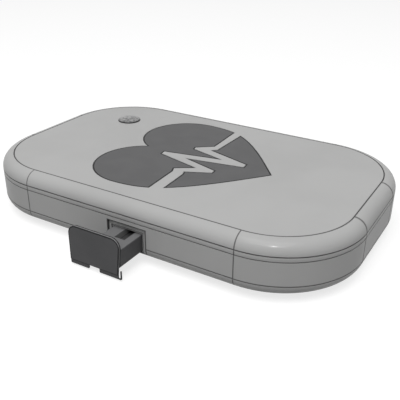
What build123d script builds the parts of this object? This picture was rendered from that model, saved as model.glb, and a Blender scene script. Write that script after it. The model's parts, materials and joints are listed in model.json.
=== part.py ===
from build123d import *
from math import sqrt
import os

# Frame: +X along the case, +Z up, the plug leaves towards -Y.
# The origin is the middle of the case's flat underside.

# Case
case_length = 240.0
case_width = 150.6
case_height = 31.2
corner_radius = 50.6
top_round = 7.5
bottom_round = 6.8
wall = 2.2
band_height = 2.9
seam_groove_width = 0.5
seam_groove_depth = 0.35
tongue_thickness = 1.2
tongue_gap = 0.2
tongue_overlap = 0.7
tongue_root = 2.8
gasket_side = 0.8
panel_thickness = 1.6
panel_gap = 0.2
panel_edge_break = 0.25
ceiling_round = 3.7
ceiling_rib_depth = 1.2
ceiling_rib_thickness = 1.2
ceiling_rib_pitch = 30.0
weld = 0.1

# Heart let into the top panel
heart_length = 105.2
heart_width = 112.8
heart_tip_x = 54.6
heart_depth = 1.0
inlay_gap = 0.1
notch_share = 0.144
cheek_share = 0.465
crown_share = 0.287
shoulder_share = (0.504, 0.928)
flank_share = (0.756, 0.552)
tip_slope = (0.62, -0.785)

# Pulse line through the heart: its left and right edge, each from one side to the other
pulse_left_edge = [
    (1.7, 62.0), (3.2, 22.0), (-6.6, 14.1), (-6.0, 11.6), (18.4, 5.1),
    (-20.0, -2.5), (-19.6, -6.1), (11.1, -14.2), (-0.1, -21.7), (1.6, -25.8), (3.3, -62.0)]
pulse_right_edge = [
    (10.3, -62.0), (8.7, -26.2), (7.3, -22.7), (22.4, -15.4), (22.2, -12.3), (-3.1, -4.7),
    (34.6, 2.0), (34.2, 6.1), (4.0, 15.0), (7.3, 18.3), (8.2, 62.0)]

# Power button, measured from the left end and from the back
button_inset_x = 43.7
button_inset_y = 40.3
button_radius = 7.8
button_rise = 2.2
button_stand = 0.8
button_edge_round = 0.4
button_seat_gap = 0.15
button_gap = 0.3
button_flange = 1.6
button_flange_thickness = 1.2
button_travel = 1.0
button_stem_radius = 2.5
button_stem_fit = 0.08
cup_depth = 5.6
cup_floor = 1.6
cup_wall = 2.0
return_wall = 0.7
return_rim_gap = 0.4
return_foot = 2.0
return_slant = 1.2
return_crown = 1.6
switch_gap = 0.15
switch_side = 6.0
switch_height = 4.8
switch_cap_radius = 1.7
switch_cap_height = 1.0
lamp_offset = 5.0
lamp_radius = 1.3
lamp_rim = 0.3
lamp_base_height = 1.0
lamp_height = 2.2
guide_radius = 1.5
guide_gap = 0.3

# Plug and its opening
plug_x = 3.2
block_width = 19.2
block_height = 10.4
block_length = 26.0
block_base = 3.9
block_corner = 0.6
block_nose_break = 0.36
drawn_out = 17.9
home_gap = 0.3
grip_left = -20.4
grip_right = 14.2
grip_bottom = -0.3
grip_top = 21.3
grip_thickness = 1.7
grip_corner = 5.5
skirt_thickness = 1.0
foot_width = 12.7
foot_drop = 2.5
foot_setback = 0.25
foot_round = 0.7
catch_gap = 1.4
catch_thickness = 0.7
catch_web = 0.7
catch_rise = 2.9
tenon_depth = 0.9
tenon_side = 5.0
recess_margin = 3.0
recess_depth = 1.2
recess_cover = 2.6
recess_sill = 2.9
tunnel_gap = 1.0
tunnel_gap_top = 1.2
tunnel_gap_bottom = 0.6
collar_depth = 7.5
key_slot_x = 4.9
key_slot_width = 6.6
key_slot_depth = 3.4
key_slot_start = 10.1
key_gap = 0.4
key_foot_gap = 0.6

# Pad socket
socket_gap = 0.4
socket_wall = 1.3
socket_end_gap = 2.4
socket_end_wall = 1.6
pin_radius = 0.8
pin_reach = 7.0
pin_tail = 3.0
pin_rise = 3.3
pin_pitch = 4.0
pin_count = 4
sleeve_wall = 0.5
sleeve_gap = 0.15
sleeve_length = 8.0
ear_length = 8.0
ear_reach = 5.0
ear_thickness = 2.0

# Battery tray in the back wall
tray_x = 20.0
opening_lintel = 1.4
cell_length = 49.3
cell_nub_radius = 2.7
cell_nub_length = 1.2
cell_spacing = 0.7
cell_count = 4
cell_gap = 0.15
cell_end_gap = 0.15
cell_edge_round = 0.5
cell_rim = 0.65
tray_wall = 1.2
tray_lift = 0.3
tray_end_wall = 1.8
tray_side_gap = 0.4
cap_thickness = 6.0
cap_gap = 0.25
scoop_width = 34.0
scoop_height = 8.0
scoop_depth = 2.4
scoop_lift = 1.0
grip_rib_width = 1.4
grip_rib_sunk = 0.8
grip_rib_count = 5
cap_screw_rise = 2.8
cap_screw_sunk = 2.2
cap_screw_bite = 5.0
bay_wall = 1.2
bay_top_gap = 0.4
bay_mouth = 7.0
link_thickness = 0.4
link_height = 5.0
link_pad = 8.0
bay_contact_gap = 0.3
contact_width = 6.0
contact_foot = 2.0
contact_bow = 1.6
contact_bow_width = 4.0
contact_bow_height = 1.2

# Case screws, posts and feet
screw_radius = 1.5
screw_head_radius = 2.8
screw_head_height = 2.4
screw_hole_gap = 0.2
screw_bite = 4.6
counterbore_depth = 4.0
boss_radius = 4.4
upper_boss_radius = 3.6
head_edge_round = 0.6
hex_radius = 1.2
hex_depth = 1.4
small_screw_radius = 1.1
small_head_radius = 2.1
small_head_height = 1.5
small_head_round = 0.5
slot_cut = 0.6
board_screw_length = 6.0
power_screw_length = 2.6
post_radius = 3.0
end_screw_inset_x = 22.0
end_screw_inset_y = 31.3
side_screw_inset = 12.5
side_screw_left_gap = 17.0
side_screw_right_gap = 12.0
gusset_reach = 3.4
gusset_height = 5.0
gusset_thickness = 1.2
pad_radius = 8.0
pad_height = 4.0
pad_pocket = 0.8
pad_edge_round = 1.0
pad_inset_x = 42.0
pad_inset_y = 29.3

# Main board, by its gaps to the case's ends and sides and to the battery bay
board_end_gap = 16.0
board_bay_gap = 3.0
board_front_gap = 25.3
board_back_gap = 23.3
board_base = 12.0
board_thickness = 1.6
board_corner = 3.0
boss_clearance = 1.4
board_post_end_inset = 20.0
board_post_inset = 5.0

# Chips: distance from the board's right edge and front edge, then length, width and height
chip_table = [
    (28.0, 58.0, 14.0, 14.0, 1.6), (28.0, 80.0, 9.0, 7.0, 1.4), (48.0, 58.0, 8.0, 10.0, 1.4),
    (14.0, 38.0, 8.0, 6.0, 1.4), (68.0, 54.0, 10.0, 8.0, 1.8), (42.0, 16.0, 12.0, 8.0, 2.0)]
chip_edge_break = 0.3

# Plug-in sockets on the main board
board_socket_length = 8.0
board_socket_width = 12.0
board_socket_height = 7.0
board_socket_wall = 1.0
board_socket_floor = 1.2
board_socket_inset_x = 8.0
board_socket_inset_y = 16.0
speaker_socket_inset_x = 12.0
speaker_socket_inset_y = 30.0

# Speaker, measured from the left end and from the front
speaker_inset_x = 58.0
speaker_inset_y = 57.3
speaker_radius = 20.0
speaker_height = 8.0
magnet_radius = 9.0
magnet_height = 3.4
slot_width = 1.8
slot_pitch = 4.4
slot_count = 7
grille_radius = 16.0
speaker_ring_wall = 1.2
speaker_ring_height = 4.0
speaker_rim = 3.0
speaker_rim_height = 1.2
basket_wall = 0.8
basket_window_radius = 2.6
basket_window_count = 8
cone_gap = 0.3
cone_thickness = 0.5
cone_rise = 2.5
dust_cap_radius = 5.2
dust_cap_dip = 1.0
magnet_edge_round = 0.8

# Power board, by its gaps to what lies round it, and what stands on it
power_side_gap = 2.0
power_bay_gap = 3.2
power_socket_gap = 2.0
power_lift = 1.8
power_corner = 2.0
power_post_inset = 4.0
transformer_length = 24.0
transformer_depth = 9.9
transformer_height = 16.0
core_limb = 4.0
core_yoke = 3.5
core_leg = 6.0
winding_gap = 1.0
winding_overhang = 3.0
winding_corner = 2.5
winding_fit = 0.2
sink_length = 27.0
sink_inset_x = 4.0
sink_inset_y = 6.0
sink_base = 2.4
sink_top_gap = 1.8
sink_fin_thickness = 1.4
sink_fin_count = 6
sink_transformer_gap = 4.0
switch_chip_width = 10.0
switch_chip_length = 15.0
switch_chip_height = 5.0
switch_chip_inset = 1.5
switch_chip_gap_x = 3.0
switch_chip_gap_y = 1.0

# Discharge relay, beside the battery bay on two posts of its own
relay_length = 20.0
relay_width = 15.0
relay_height = 14.0
relay_round = 1.0
relay_lift = 3.0
relay_ear = 6.0
relay_ear_thickness = 2.0
relay_bay_gap = 8.0
relay_capacitor_gap = 10.0

# Shock capacitors, lying beside the right end wall
capacitor_top_gap = 2.0
capacitor_side_gap = 8.0
capacitor_spacing = 2.0
capacitor_length = 42.0
capacitor_y = -8.0
capacitor_count = 2
capacitor_round = 1.2
terminal_offset = 4.0
terminal_radius = 0.8
terminal_length = 4.0
cradle_plate = 1.2
saddle_thickness = 3.0
saddle_inset = 4.0
saddle_drop = 2.0

# Worked out from the sizes above
front = -case_width / 2
back = case_width / 2
left_end = -case_length / 2
right_end = case_length / 2
band_top = case_height - top_round
band_bottom = band_top - band_height
panel_bottom = case_height - panel_thickness
ceiling = panel_bottom - wall
board_top = board_base + board_thickness
button_x = left_end + button_inset_x
button_y = back - button_inset_y
button_shoulder = case_height + button_stand
cup_bottom = panel_bottom - cup_depth
switch_top = board_top + switch_height
lamp_x = button_x + lamp_offset
block_top = block_base + block_height
block_left = plug_x - block_width / 2
block_right = plug_x + block_width / 2
recess_top = band_bottom - recess_cover
grip_back = front - drawn_out
grip_front = grip_back - grip_thickness
skirt_back = grip_front + skirt_thickness
foot_bottom = grip_bottom - foot_drop
catch_left = grip_right - catch_thickness
foot_end = catch_left - catch_gap
nose = grip_back + block_length
pin_height = block_base + pin_rise
sleeve_outer = pin_radius + sleeve_gap + sleeve_wall
socket_mouth = front + collar_depth
socket_back = front + block_length + home_gap + socket_end_gap
socket_tail = socket_back + socket_end_wall + pin_tail
tray_base = wall + tray_lift
tray_top = band_bottom - opening_lintel - bay_top_gap
cell_radius = (tray_top - cell_rim - tray_base - tray_wall - cell_gap) / 2
cell_pitch = 2 * cell_radius + cell_spacing
cell_z = tray_base + tray_wall + cell_gap + cell_radius
tray_half = (cell_pitch * (cell_count - 1) + 2 * (cell_radius + cell_gap)) / 2 + tray_wall
tray_end = tray_end_wall + link_thickness + cell_end_gap
tray_length = cell_length + cell_nub_length + 2 * tray_end
tray_back = back - cap_thickness
tray_front = tray_back - tray_length
cell_front = tray_front + tray_end
bay_top = tray_top + bay_top_gap
bay_half = tray_half + tray_side_gap
bay_left = tray_x - bay_half - bay_wall
bay_right = tray_x + bay_half + bay_wall
bay_front = tray_front - link_thickness - bay_contact_gap - contact_bow - link_thickness
board_left = left_end + board_end_gap
board_right = bay_left - board_bay_gap
board_front = front + board_front_gap
board_back = back - board_back_gap
speaker_x = left_end + speaker_inset_x
speaker_y = front + speaker_inset_y
speaker_top = wall + speaker_height
capacitor_radius = (ceiling - capacitor_top_gap - wall - cradle_plate) / 2
capacitor_pitch = 2 * capacitor_radius + capacitor_spacing
capacitor_z = wall + cradle_plate + capacitor_radius
capacitor_last = right_end - wall - capacitor_side_gap - capacitor_radius
capacitor_first = capacitor_last - capacitor_pitch * (capacitor_count - 1)
capacitor_front = capacitor_y - capacitor_length / 2
capacitor_back = capacitor_y + capacitor_length / 2
power_left = bay_left + power_side_gap
power_right = capacitor_first - capacitor_radius - power_side_gap
power_front = socket_tail + power_socket_gap
power_back = bay_front - bay_wall - power_bay_gap
power_base = wall + power_lift
power_top = power_base + board_thickness
sink_left = power_left + sink_inset_x
sink_front = power_front + sink_inset_y
sink_back = power_back - sink_inset_y
sink_bottom = power_top + switch_chip_height
transformer_left = sink_left + sink_length + sink_transformer_gap
transformer_right = transformer_left + transformer_length
transformer_front = (power_front + power_back - transformer_depth) / 2
transformer_back = transformer_front + transformer_depth
transformer_top = power_top + transformer_height
relay_left = bay_right + relay_bay_gap
relay_front = capacitor_back + terminal_length + relay_capacitor_gap
relay_base = wall + relay_lift
screw_places = (
    [(x, y) for x in (left_end + end_screw_inset_x, right_end - end_screw_inset_x)
     for y in (front + end_screw_inset_y, back - end_screw_inset_y)]
    + [(x, y) for x in (bay_left - side_screw_left_gap, bay_right + side_screw_right_gap)
       for y in (front + side_screw_inset, back - side_screw_inset)])


def block(x0, x1, y0, y1, z0, z1):
    middle = Pos((x0 + x1) / 2, (y0 + y1) / 2, (z0 + z1) / 2)
    return middle * Box(x1 - x0, y1 - y0, z1 - z0)


def post(x, y, z0, z1, radius):
    return Pos(x, y, (z0 + z1) / 2) * Cylinder(radius, z1 - z0)


def rod(x, y0, y1, z, radius):
    return Pos(x, (y0 + y1) / 2, z) * Rot(90, 0, 0) * Cylinder(radius, y1 - y0)


def standing(x, y, z, length, width, height):
    """A block that stands at z with its plan's middle at x and y."""
    return block(x - length / 2, x + length / 2, y - width / 2, y + width / 2, z, z + height)


def group(solids):
    return Compound(children=list(solids))


def slab(inset, z0, z1):
    """The case's plan, drawn in by inset, between two heights."""
    plan = RectangleRounded(
        case_length - 2 * inset, case_width - 2 * inset, corner_radius - inset)
    return extrude(Pos(0, 0, z0) * plan, z1 - z0)


def rounded_slab(inset, z0, z1, low_round, high_round):
    body = slab(inset, z0, z1)
    if low_round:
        body = fillet(body.edges().group_by(Axis.Z)[0], low_round)
    if high_round:
        body = fillet(body.edges().group_by(Axis.Z)[-1], high_round)
    return body


def case_form():
    return rounded_slab(0, 0, case_height, bottom_round, top_round)


def ring(outer_inset, inner_inset, z0, z1):
    return slab(outer_inset, z0, z1) - slab(inner_inset, z0, z1)


def seam_groove(height):
    """Shallow groove that breaks the outside of a joint between two mouldings."""
    half = seam_groove_width / 2
    return ring(-1, seam_groove_depth, height - half, height + half)


# Lower shell

def plug_collar():
    half = block_width / 2 + recess_margin + socket_wall
    return block(plug_x - half, plug_x + half, front, socket_mouth, 0, recess_top + socket_wall)


def plug_recess():
    half = block_width / 2 + recess_margin
    return block(
        plug_x - half, plug_x + half, front - 1, front + recess_depth, recess_sill, recess_top)


def plug_tunnel():
    return block(
        block_left - tunnel_gap, block_right + tunnel_gap, front - 1, socket_mouth,
        block_base - tunnel_gap_bottom, block_top + tunnel_gap_top)


def tray_opening():
    return block(
        tray_x - bay_half, tray_x + bay_half, back - bay_mouth, back + 1,
        wall, tray_top + bay_top_gap)


def screw_hole(x, y):
    bore = post(x, y, -1, case_height, screw_radius + screw_hole_gap)
    head = post(x, y, -1, counterbore_depth, screw_head_radius + screw_hole_gap)
    return bore + head


def speaker_slots():
    slots = []
    for n in range(slot_count):
        offset_y = (n - (slot_count - 1) / 2) * slot_pitch
        half = sqrt(grille_radius ** 2 - offset_y ** 2)
        slots.append(
            Pos(speaker_x, speaker_y + offset_y, wall / 2)
            * extrude(SlotOverall(2 * half, slot_width), wall, both=True))
    return slots


def board_posts():
    xs = (board_left + board_post_end_inset, board_right - board_post_inset)
    ys = (board_front + board_post_inset, board_back - board_post_inset)
    return [(x, y) for x in xs for y in ys]


def power_posts():
    xs = (power_left + power_post_inset, power_right - power_post_inset)
    ys = (power_front + power_post_inset, power_back - power_post_inset)
    return [(x, y) for x in xs for y in ys]


def relay_posts():
    x = relay_left + relay_length / 2
    return [(x, relay_front - relay_ear / 2), (x, relay_front + relay_width + relay_ear / 2)]


def pad_places():
    left, right = left_end + pad_inset_x, right_end - pad_inset_x
    near, far = front + pad_inset_y, back - pad_inset_y
    return {
        "foot_front_left": (left, near), "foot_front_right": (right, near),
        "foot_rear_left": (left, far), "foot_rear_right": (right, far)}


def seam_tongue():
    """Lip that stands inside the band and the upper shell, on a root that joins it to the wall."""
    outer = wall + tongue_gap
    inner = outer + tongue_thickness
    root = ring(wall - weld, inner, band_bottom - tongue_root, band_bottom)
    return root + ring(outer, inner, band_bottom - tongue_root, band_top + tongue_overlap)


def gasket_ring():
    middle = wall / 2
    return ring(middle - gasket_side / 2, middle + gasket_side / 2,
                band_bottom - gasket_side, band_bottom)


def floor_posts():
    """Each post on the floor for a small screw: its place and its top."""
    return ([(x, y, board_base) for x, y in board_posts()]
            + [(x, y, power_base) for x, y in power_posts()]
            + [(x, y, relay_base) for x, y in relay_posts()])


def lower_shell():
    form = case_form()
    hollow = rounded_slab(wall, wall, case_height, bottom_round - wall, 0)
    shell = form & block(2 * left_end, 2 * right_end, 2 * front, 2 * back, 0, band_bottom)
    shell -= hollow
    shell += seam_tongue()
    shell += plug_collar() & form
    for x, y in screw_places:
        shell += post(x, y, 0, band_bottom, boss_radius)
    for x, y, top in floor_posts():
        shell += post(x, y, wall / 2, top, post_radius)
    shell += (post(speaker_x, speaker_y, wall / 2, wall + speaker_ring_height,
                   speaker_radius + tongue_gap + speaker_ring_wall)
              - post(speaker_x, speaker_y, 0, case_height, speaker_radius + tongue_gap))
    for x, y in screw_places:
        shell -= screw_hole(x, y)
    for x, y, top in floor_posts():
        shell -= post(x, y, wall / 2, top, small_screw_radius)
    for x, y in pad_places().values():
        shell -= post(x, y, 0, pad_pocket, pad_radius)
    for slot in speaker_slots():
        shell -= slot
    shell -= plug_recess()
    shell -= plug_tunnel()
    shell -= tray_opening()
    shell -= seam_groove(band_bottom)
    shell -= gasket_ring()
    return shell


def seam_gasket():
    return gasket_ring()


def seam_band():
    band = ring(0, wall, band_bottom, band_top)
    return band - seam_groove(band_bottom) - seam_groove(band_top)


# Upper shell and top panel

def button_cup():
    outside = button_radius + button_flange + button_gap + cup_wall
    return post(button_x, button_y, cup_bottom - cup_floor, panel_bottom, outside)


def button_bore():
    inside = button_radius + button_flange + button_gap
    wide = post(button_x, button_y, cup_bottom, case_height, inside)
    narrow = post(button_x, button_y, 0, case_height, button_stem_radius + button_stem_fit)
    return wide + narrow


def ceiling_ribs():
    """Grid of ribs under the ceiling, which stiffens the flat top."""
    half = ceiling_rib_thickness / 2
    low = ceiling - ceiling_rib_depth
    ribs = []
    for n in range(-int(right_end / ceiling_rib_pitch), int(right_end / ceiling_rib_pitch) + 1):
        x = n * ceiling_rib_pitch
        ribs.append(block(x - half, x + half, front, back, low, ceiling + weld))
    for n in range(-int(back / ceiling_rib_pitch), int(back / ceiling_rib_pitch) + 1):
        y = n * ceiling_rib_pitch
        ribs.append(block(left_end, right_end, y - half, y + half, low, ceiling + weld))
    inside = slab(wall, low, ceiling + weld)
    return [rib & inside for rib in ribs]


def boss_gussets(x, y):
    """Four three-cornered webs that brace an upper boss against the ceiling."""
    web = make_face(Polyline(
        (0, ceiling + weld), (upper_boss_radius + gusset_reach, ceiling + weld),
        (upper_boss_radius + gusset_reach, ceiling - weld), (0, ceiling - gusset_height),
        close=True))
    web = extrude(Plane.XZ * web, gusset_thickness / 2, both=True)
    return [Pos(x, y, 0) * Rot(0, 0, 90 * n) * web for n in range(4)]


def upper_shell():
    form = case_form()
    hollow = rounded_slab(wall, wall, ceiling, 0, ceiling_round)
    shell = form & block(2 * left_end, 2 * right_end, 2 * front, 2 * back, band_top, case_height)
    shell -= hollow
    for rib in ceiling_ribs():
        shell += rib
    shell += button_cup()
    for x, y in screw_places:
        shell += post(x, y, band_bottom + tongue_gap, ceiling + weld, upper_boss_radius)
        for web in boss_gussets(x, y):
            shell += web
    for x, y in screw_places:
        shell -= post(x, y, 0, band_bottom + screw_bite, screw_radius)
    shell -= slab(top_round, panel_bottom, case_height + 1)
    shell -= button_bore()
    shell -= post(lamp_x, button_y, 0, panel_bottom, guide_radius)
    shell -= seam_groove(band_top)
    return shell


def heart_outline(shrink):
    """Heart lying along X, its tip towards +X, drawn in by shrink all round."""
    length = heart_length - 2 * shrink
    half = heart_width / 2 - shrink
    left = heart_tip_x - shrink - length
    notch = (left + notch_share * length, 0)
    cheek = (left, cheek_share * half)
    crown = (left + crown_share * length, half)
    shoulder = (left + shoulder_share[0] * length, shoulder_share[1] * half)
    flank = (left + flank_share[0] * length, flank_share[1] * half)
    tip = (left + length, 0)
    lobe = ThreePointArc(notch, cheek, crown)
    side = Spline(crown, shoulder, flank, tip, tangents=[(1, 0), tip_slope])
    return make_face([lobe, side, mirror(side, Plane.XZ), mirror(lobe, Plane.XZ)])


def pulse_line(grow):
    """The pulse trace that parts the heart: its two edges as one closed outline."""
    trace = make_face(Polyline(*(pulse_left_edge + pulse_right_edge), close=True))
    return offset(trace, amount=grow, kind=Kind.INTERSECTION) if grow else trace


def heart_faces(gap):
    """The two dark pieces of the heart, smaller by gap all round than their pockets."""
    pieces = (heart_outline(gap) - pulse_line(gap)).faces().sort_by(Axis.X)
    return {"heart_inlay_left": pieces[0], "heart_inlay_right": pieces[-1]}


def heart_block(face, thickness):
    return extrude(Pos(0, 0, case_height - heart_depth) * face, thickness)


def top_panel():
    panel = slab(top_round + panel_gap, panel_bottom, case_height)
    panel = chamfer(panel.edges().group_by(Axis.Z)[-1], panel_edge_break)
    panel -= post(button_x, button_y, 0, case_height + 1, button_radius + button_gap)
    for face in heart_faces(0).values():
        panel -= heart_block(face, heart_depth + 1)
    return panel


# Power button

def power_button():
    base = panel_bottom - button_seat_gap
    flange = base - button_flange_thickness
    tip = switch_top + button_travel + switch_gap
    top = case_height + button_rise
    wide = button_radius + button_flange
    outline = Polyline(
        (0, top), (0, tip), (button_stem_radius, tip), (button_stem_radius, flange),
        (wide, flange), (wide, base), (button_radius, base), (button_radius, button_shoulder))
    crown = RadiusArc((button_radius, button_shoulder), (0, top), -crown_radius())
    profile = make_face([outline, crown])
    rim = profile.vertices().sort_by_distance((button_radius, button_shoulder))[0]
    cap = revolve(Plane.XZ * fillet(rim, button_edge_round), Axis.Z)
    return Pos(button_x, button_y, 0) * cap


def crown_radius():
    """Radius of a dome that is level at its top and ends at the shoulder."""
    rise = case_height + button_rise - button_shoulder
    return (button_radius ** 2 + rise ** 2) / (2 * rise)


def button_return():
    top = panel_bottom - button_seat_gap - button_flange_thickness
    outer = button_radius + button_flange - return_rim_gap
    inner = button_stem_radius + return_slant
    profile = make_face(Polyline(
        (outer - return_foot, cup_bottom), (outer, cup_bottom), (outer, cup_bottom + return_wall),
        (inner + return_crown, top), (inner, top), (inner, top - return_wall),
        (inner + return_slant, top - return_wall), close=True))
    return Pos(button_x, button_y, 0) * revolve(Plane.XZ * profile, Axis.Z)


def tactile_switch():
    shoulder = switch_top - switch_cap_height
    body = standing(button_x, button_y, board_top, switch_side, switch_side, shoulder - board_top)
    return body + post(button_x, button_y, shoulder, switch_top, switch_cap_radius)


def status_led():
    shoulder = board_top + lamp_base_height
    base = post(lamp_x, button_y, board_top, shoulder, lamp_radius + lamp_rim)
    return base + post(lamp_x, button_y, shoulder, board_top + lamp_height, lamp_radius)


def light_guide():
    return post(lamp_x, button_y, board_top + lamp_height + guide_gap, cup_bottom, guide_radius)


# Plug

def upright(outline, y_front, y_back, rounded, radius):
    """Plate standing along X: its outline in X and Z, with one row of corners rounded."""
    face = make_face(Polyline(*outline, close=True))
    face = fillet(face.vertices().group_by(Axis.Y)[rounded], radius)
    return Pos(0, y_back, 0) * extrude(Plane.XZ * face, y_back - y_front)


def grip_feet():
    """Two thin feet; the right one ends in an upright, springy catch with a free tip."""
    top = grip_bottom + weld
    catch_top = grip_bottom + catch_rise
    left = [
        (grip_left, top), (grip_left, foot_bottom),
        (grip_left + foot_width, foot_bottom), (grip_left + foot_width, top)]
    right = [
        (foot_end - foot_width, top), (foot_end - foot_width, foot_bottom),
        (grip_right, foot_bottom), (grip_right, catch_top), (catch_left, catch_top),
        (catch_left, foot_bottom + catch_web), (foot_end, foot_bottom + catch_web),
        (foot_end, top)]
    front_face = grip_front + foot_setback
    return [upright(foot, front_face, skirt_back, 0, foot_round) for foot in (left, right)]


def plug_grip():
    """Plate that draws in towards the catch, and is thinner below the block."""
    outline = [
        (grip_left, grip_bottom), (foot_end, grip_bottom),
        (grip_right, grip_top), (grip_left, grip_top)]
    plate = upright(outline, grip_front, grip_back, -1, grip_corner)
    plate -= block(grip_left, grip_right, skirt_back, grip_back, grip_bottom, block_base)
    plate += grip_feet()
    for x in (plug_x - block_width / 4, plug_x + block_width / 4):
        plate -= tenon(x)
    return plate


def tenon(x):
    half = tenon_side / 2
    z = block_base + block_height / 2
    return block(x - half, x + half, grip_back - tenon_depth, grip_back, z - half, z + half)


def pin_places():
    first = plug_x - pin_pitch * (pin_count - 1) / 2
    return [first + n * pin_pitch for n in range(pin_count)]


def plug_block():
    body = block(block_left, block_right, grip_back, nose, block_base, block_top)
    body = fillet(body.edges().filter_by(Axis.Y), block_corner)
    body = chamfer(body.edges().group_by(Axis.Y)[-1], block_nose_break)
    for x in (plug_x - block_width / 4, plug_x + block_width / 4):
        body += tenon(x)
    body -= block(key_slot_x - key_slot_width / 2, key_slot_x + key_slot_width / 2,
                  grip_back + key_slot_start, nose + 1, block_top - key_slot_depth, block_top + 1)
    for x in pin_places():
        body -= rod(x, nose - sleeve_length, nose + 1, pin_height, sleeve_outer)
    return body


def plug_sleeves():
    inner = pin_radius + sleeve_gap
    return group([
        rod(x, nose - sleeve_length, nose - block_corner, pin_height, sleeve_outer)
        - rod(x, nose - sleeve_length, nose, pin_height, inner) for x in pin_places()])


# Pad socket

def pad_socket():
    left = block_left - socket_gap
    right = block_right + socket_gap
    low = block_base - socket_gap
    high = block_top + socket_gap
    body = block(left - socket_wall, right + socket_wall, socket_mouth,
                 socket_back + socket_end_wall, wall, high + socket_wall)
    body -= block(left, right, socket_mouth - 1, socket_back, low, high)
    key_half = key_slot_width / 2 - key_gap
    key_front = front + home_gap + key_slot_start + key_foot_gap
    body += block(key_slot_x - key_half, key_slot_x + key_half, key_front, socket_back,
                  block_top - key_slot_depth + key_gap, high + weld)
    for x0, x1 in socket_ears():
        middle = (socket_mouth + socket_back) / 2
        body += block(x0, x1, middle - ear_length / 2, middle + ear_length / 2,
                      wall, wall + ear_thickness)
    for x, y in ear_places():
        body -= post(x, y, 0, wall + ear_thickness, small_screw_radius)
    for x in pin_places():
        body -= rod(x, socket_mouth, socket_back + socket_end_wall, pin_height, pin_radius)
    return body


def socket_ears():
    left = block_left - socket_gap - socket_wall
    right = block_right + socket_gap + socket_wall
    return [(left - ear_reach, left + weld), (right - weld, right + ear_reach)]


def ear_places():
    middle = (socket_mouth + socket_back) / 2
    return [((x0 + x1) / 2, middle) for x0, x1 in socket_ears()]


def socket_pins():
    return group([
        rod(x, socket_back - pin_reach, socket_tail, pin_height, pin_radius)
        for x in pin_places()])


# Battery

def cell_places():
    first = tray_x - cell_pitch * (cell_count - 1) / 2
    return [first + n * cell_pitch for n in range(cell_count)]


def battery_tray():
    tray = block(tray_x - tray_half, tray_x + tray_half, tray_front, tray_back,
                 tray_base, tray_top)
    inner_front = tray_front + tray_end_wall
    inner_back = tray_back - tray_end_wall
    for x in cell_places():
        tray -= rod(x, inner_front, inner_back, cell_z, cell_radius + cell_gap)
    tray -= block(tray_x - tray_half + tray_wall, tray_x + tray_half - tray_wall,
                  inner_front, inner_back, cell_z, case_height)
    for x in cap_screw_places():
        tray -= rod(x, tray_back - cap_screw_bite, back, cap_screw_z(), small_screw_radius)
    return tray


def battery_cells():
    """The cells side by side, every second one turned end for end."""
    cells = []
    for n, x in enumerate(cell_places()):
        can_end = cell_front + cell_length
        can = rod(x, cell_front, can_end, cell_z, cell_radius)
        can = fillet(can.edges(), cell_edge_round)
        cell = can + rod(x, can_end - weld, can_end + cell_nub_length, cell_z, cell_nub_radius)
        if n % 2:
            cell = Pos(0, tray_front + tray_back, 0) * mirror(cell, Plane.XZ)
        cells.append(cell)
    return group(cells)


def battery_links():
    """Strips that join the cells in a row, and the two outer contact plates."""
    places = cell_places()
    inner_front = tray_front + tray_end_wall
    inner_back = tray_back - tray_end_wall
    links = []
    for n in range(cell_count - 1):
        x0 = places[n] - cell_nub_radius
        x1 = places[n + 1] + cell_nub_radius
        y = inner_front if n % 2 else inner_back - link_thickness
        links.append(block(x0, x1, y, y + link_thickness, cell_z, cell_z + link_height))
    for x in (places[0], places[-1]):
        links.append(standing(x, tray_front - link_thickness / 2, cell_z - link_pad / 2,
                              link_pad, link_thickness, link_pad))
    return group(links)


def battery_cap():
    cap = case_form() & block(
        tray_x - bay_half + cap_gap, tray_x + bay_half - cap_gap, tray_back, back + 1,
        wall + cap_gap, bay_top - cap_gap)
    middle = (wall + tray_top) / 2 + scoop_lift
    scoop = extrude(SlotOverall(scoop_width, scoop_height), scoop_depth, both=True)
    cap -= Pos(tray_x, back, middle) * Rot(90, 0, 0) * scoop
    rib_half = scoop_height / 2 - grip_rib_sunk
    for n in range(grip_rib_count):
        x = tray_x + (n - (grip_rib_count - 1) / 2) * scoop_width / (grip_rib_count + 1)
        cap += block(x - grip_rib_width / 2, x + grip_rib_width / 2,
                     back - scoop_depth - weld, back - grip_rib_sunk,
                     middle - rib_half, middle + rib_half)
    for x in cap_screw_places():
        cap -= rod(x, tray_back - 1, back, cap_screw_z(), small_screw_radius)
        cap -= rod(x, back - cap_screw_sunk, back + 1, cap_screw_z(),
                   small_head_radius + screw_hole_gap)
    return cap


def cap_screw_places():
    """Midway between two cells, on either side of the tray's middle."""
    return (tray_x - cell_pitch, tray_x + cell_pitch)


def cap_screw_z():
    return tray_base + cap_screw_rise


def cap_screws():
    length = back - cap_screw_sunk - (tray_back - cap_screw_bite)
    return group([
        Pos(x, back - cap_screw_sunk, cap_screw_z()) * Rot(-90, 0, 0)
        * small_screw(0, 0, 0, length) for x in cap_screw_places()])


def battery_bay():
    body = block(bay_left, bay_right, bay_front - bay_wall, back - bay_mouth,
                 wall, bay_top + bay_wall)
    return body - block(tray_x - bay_half, tray_x + bay_half, bay_front, back, 0, bay_top)


def bay_contacts():
    """Two bowed springs on the bay's end wall that meet the tray's outer contact plates."""
    contacts = []
    foot = wall + contact_foot
    bow_front = bay_front + link_thickness
    for x in (cell_places()[0], cell_places()[-1]):
        plate = standing(x, bay_front + link_thickness / 2, foot,
                         contact_width, link_thickness, cell_z + link_height - foot)
        bow = standing(x, bow_front + contact_bow / 2, cell_z - contact_bow_height / 2,
                       contact_bow_width, contact_bow, contact_bow_height)
        contacts.append(plate + bow)
    return group(contacts)


# Screws and feet

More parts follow.
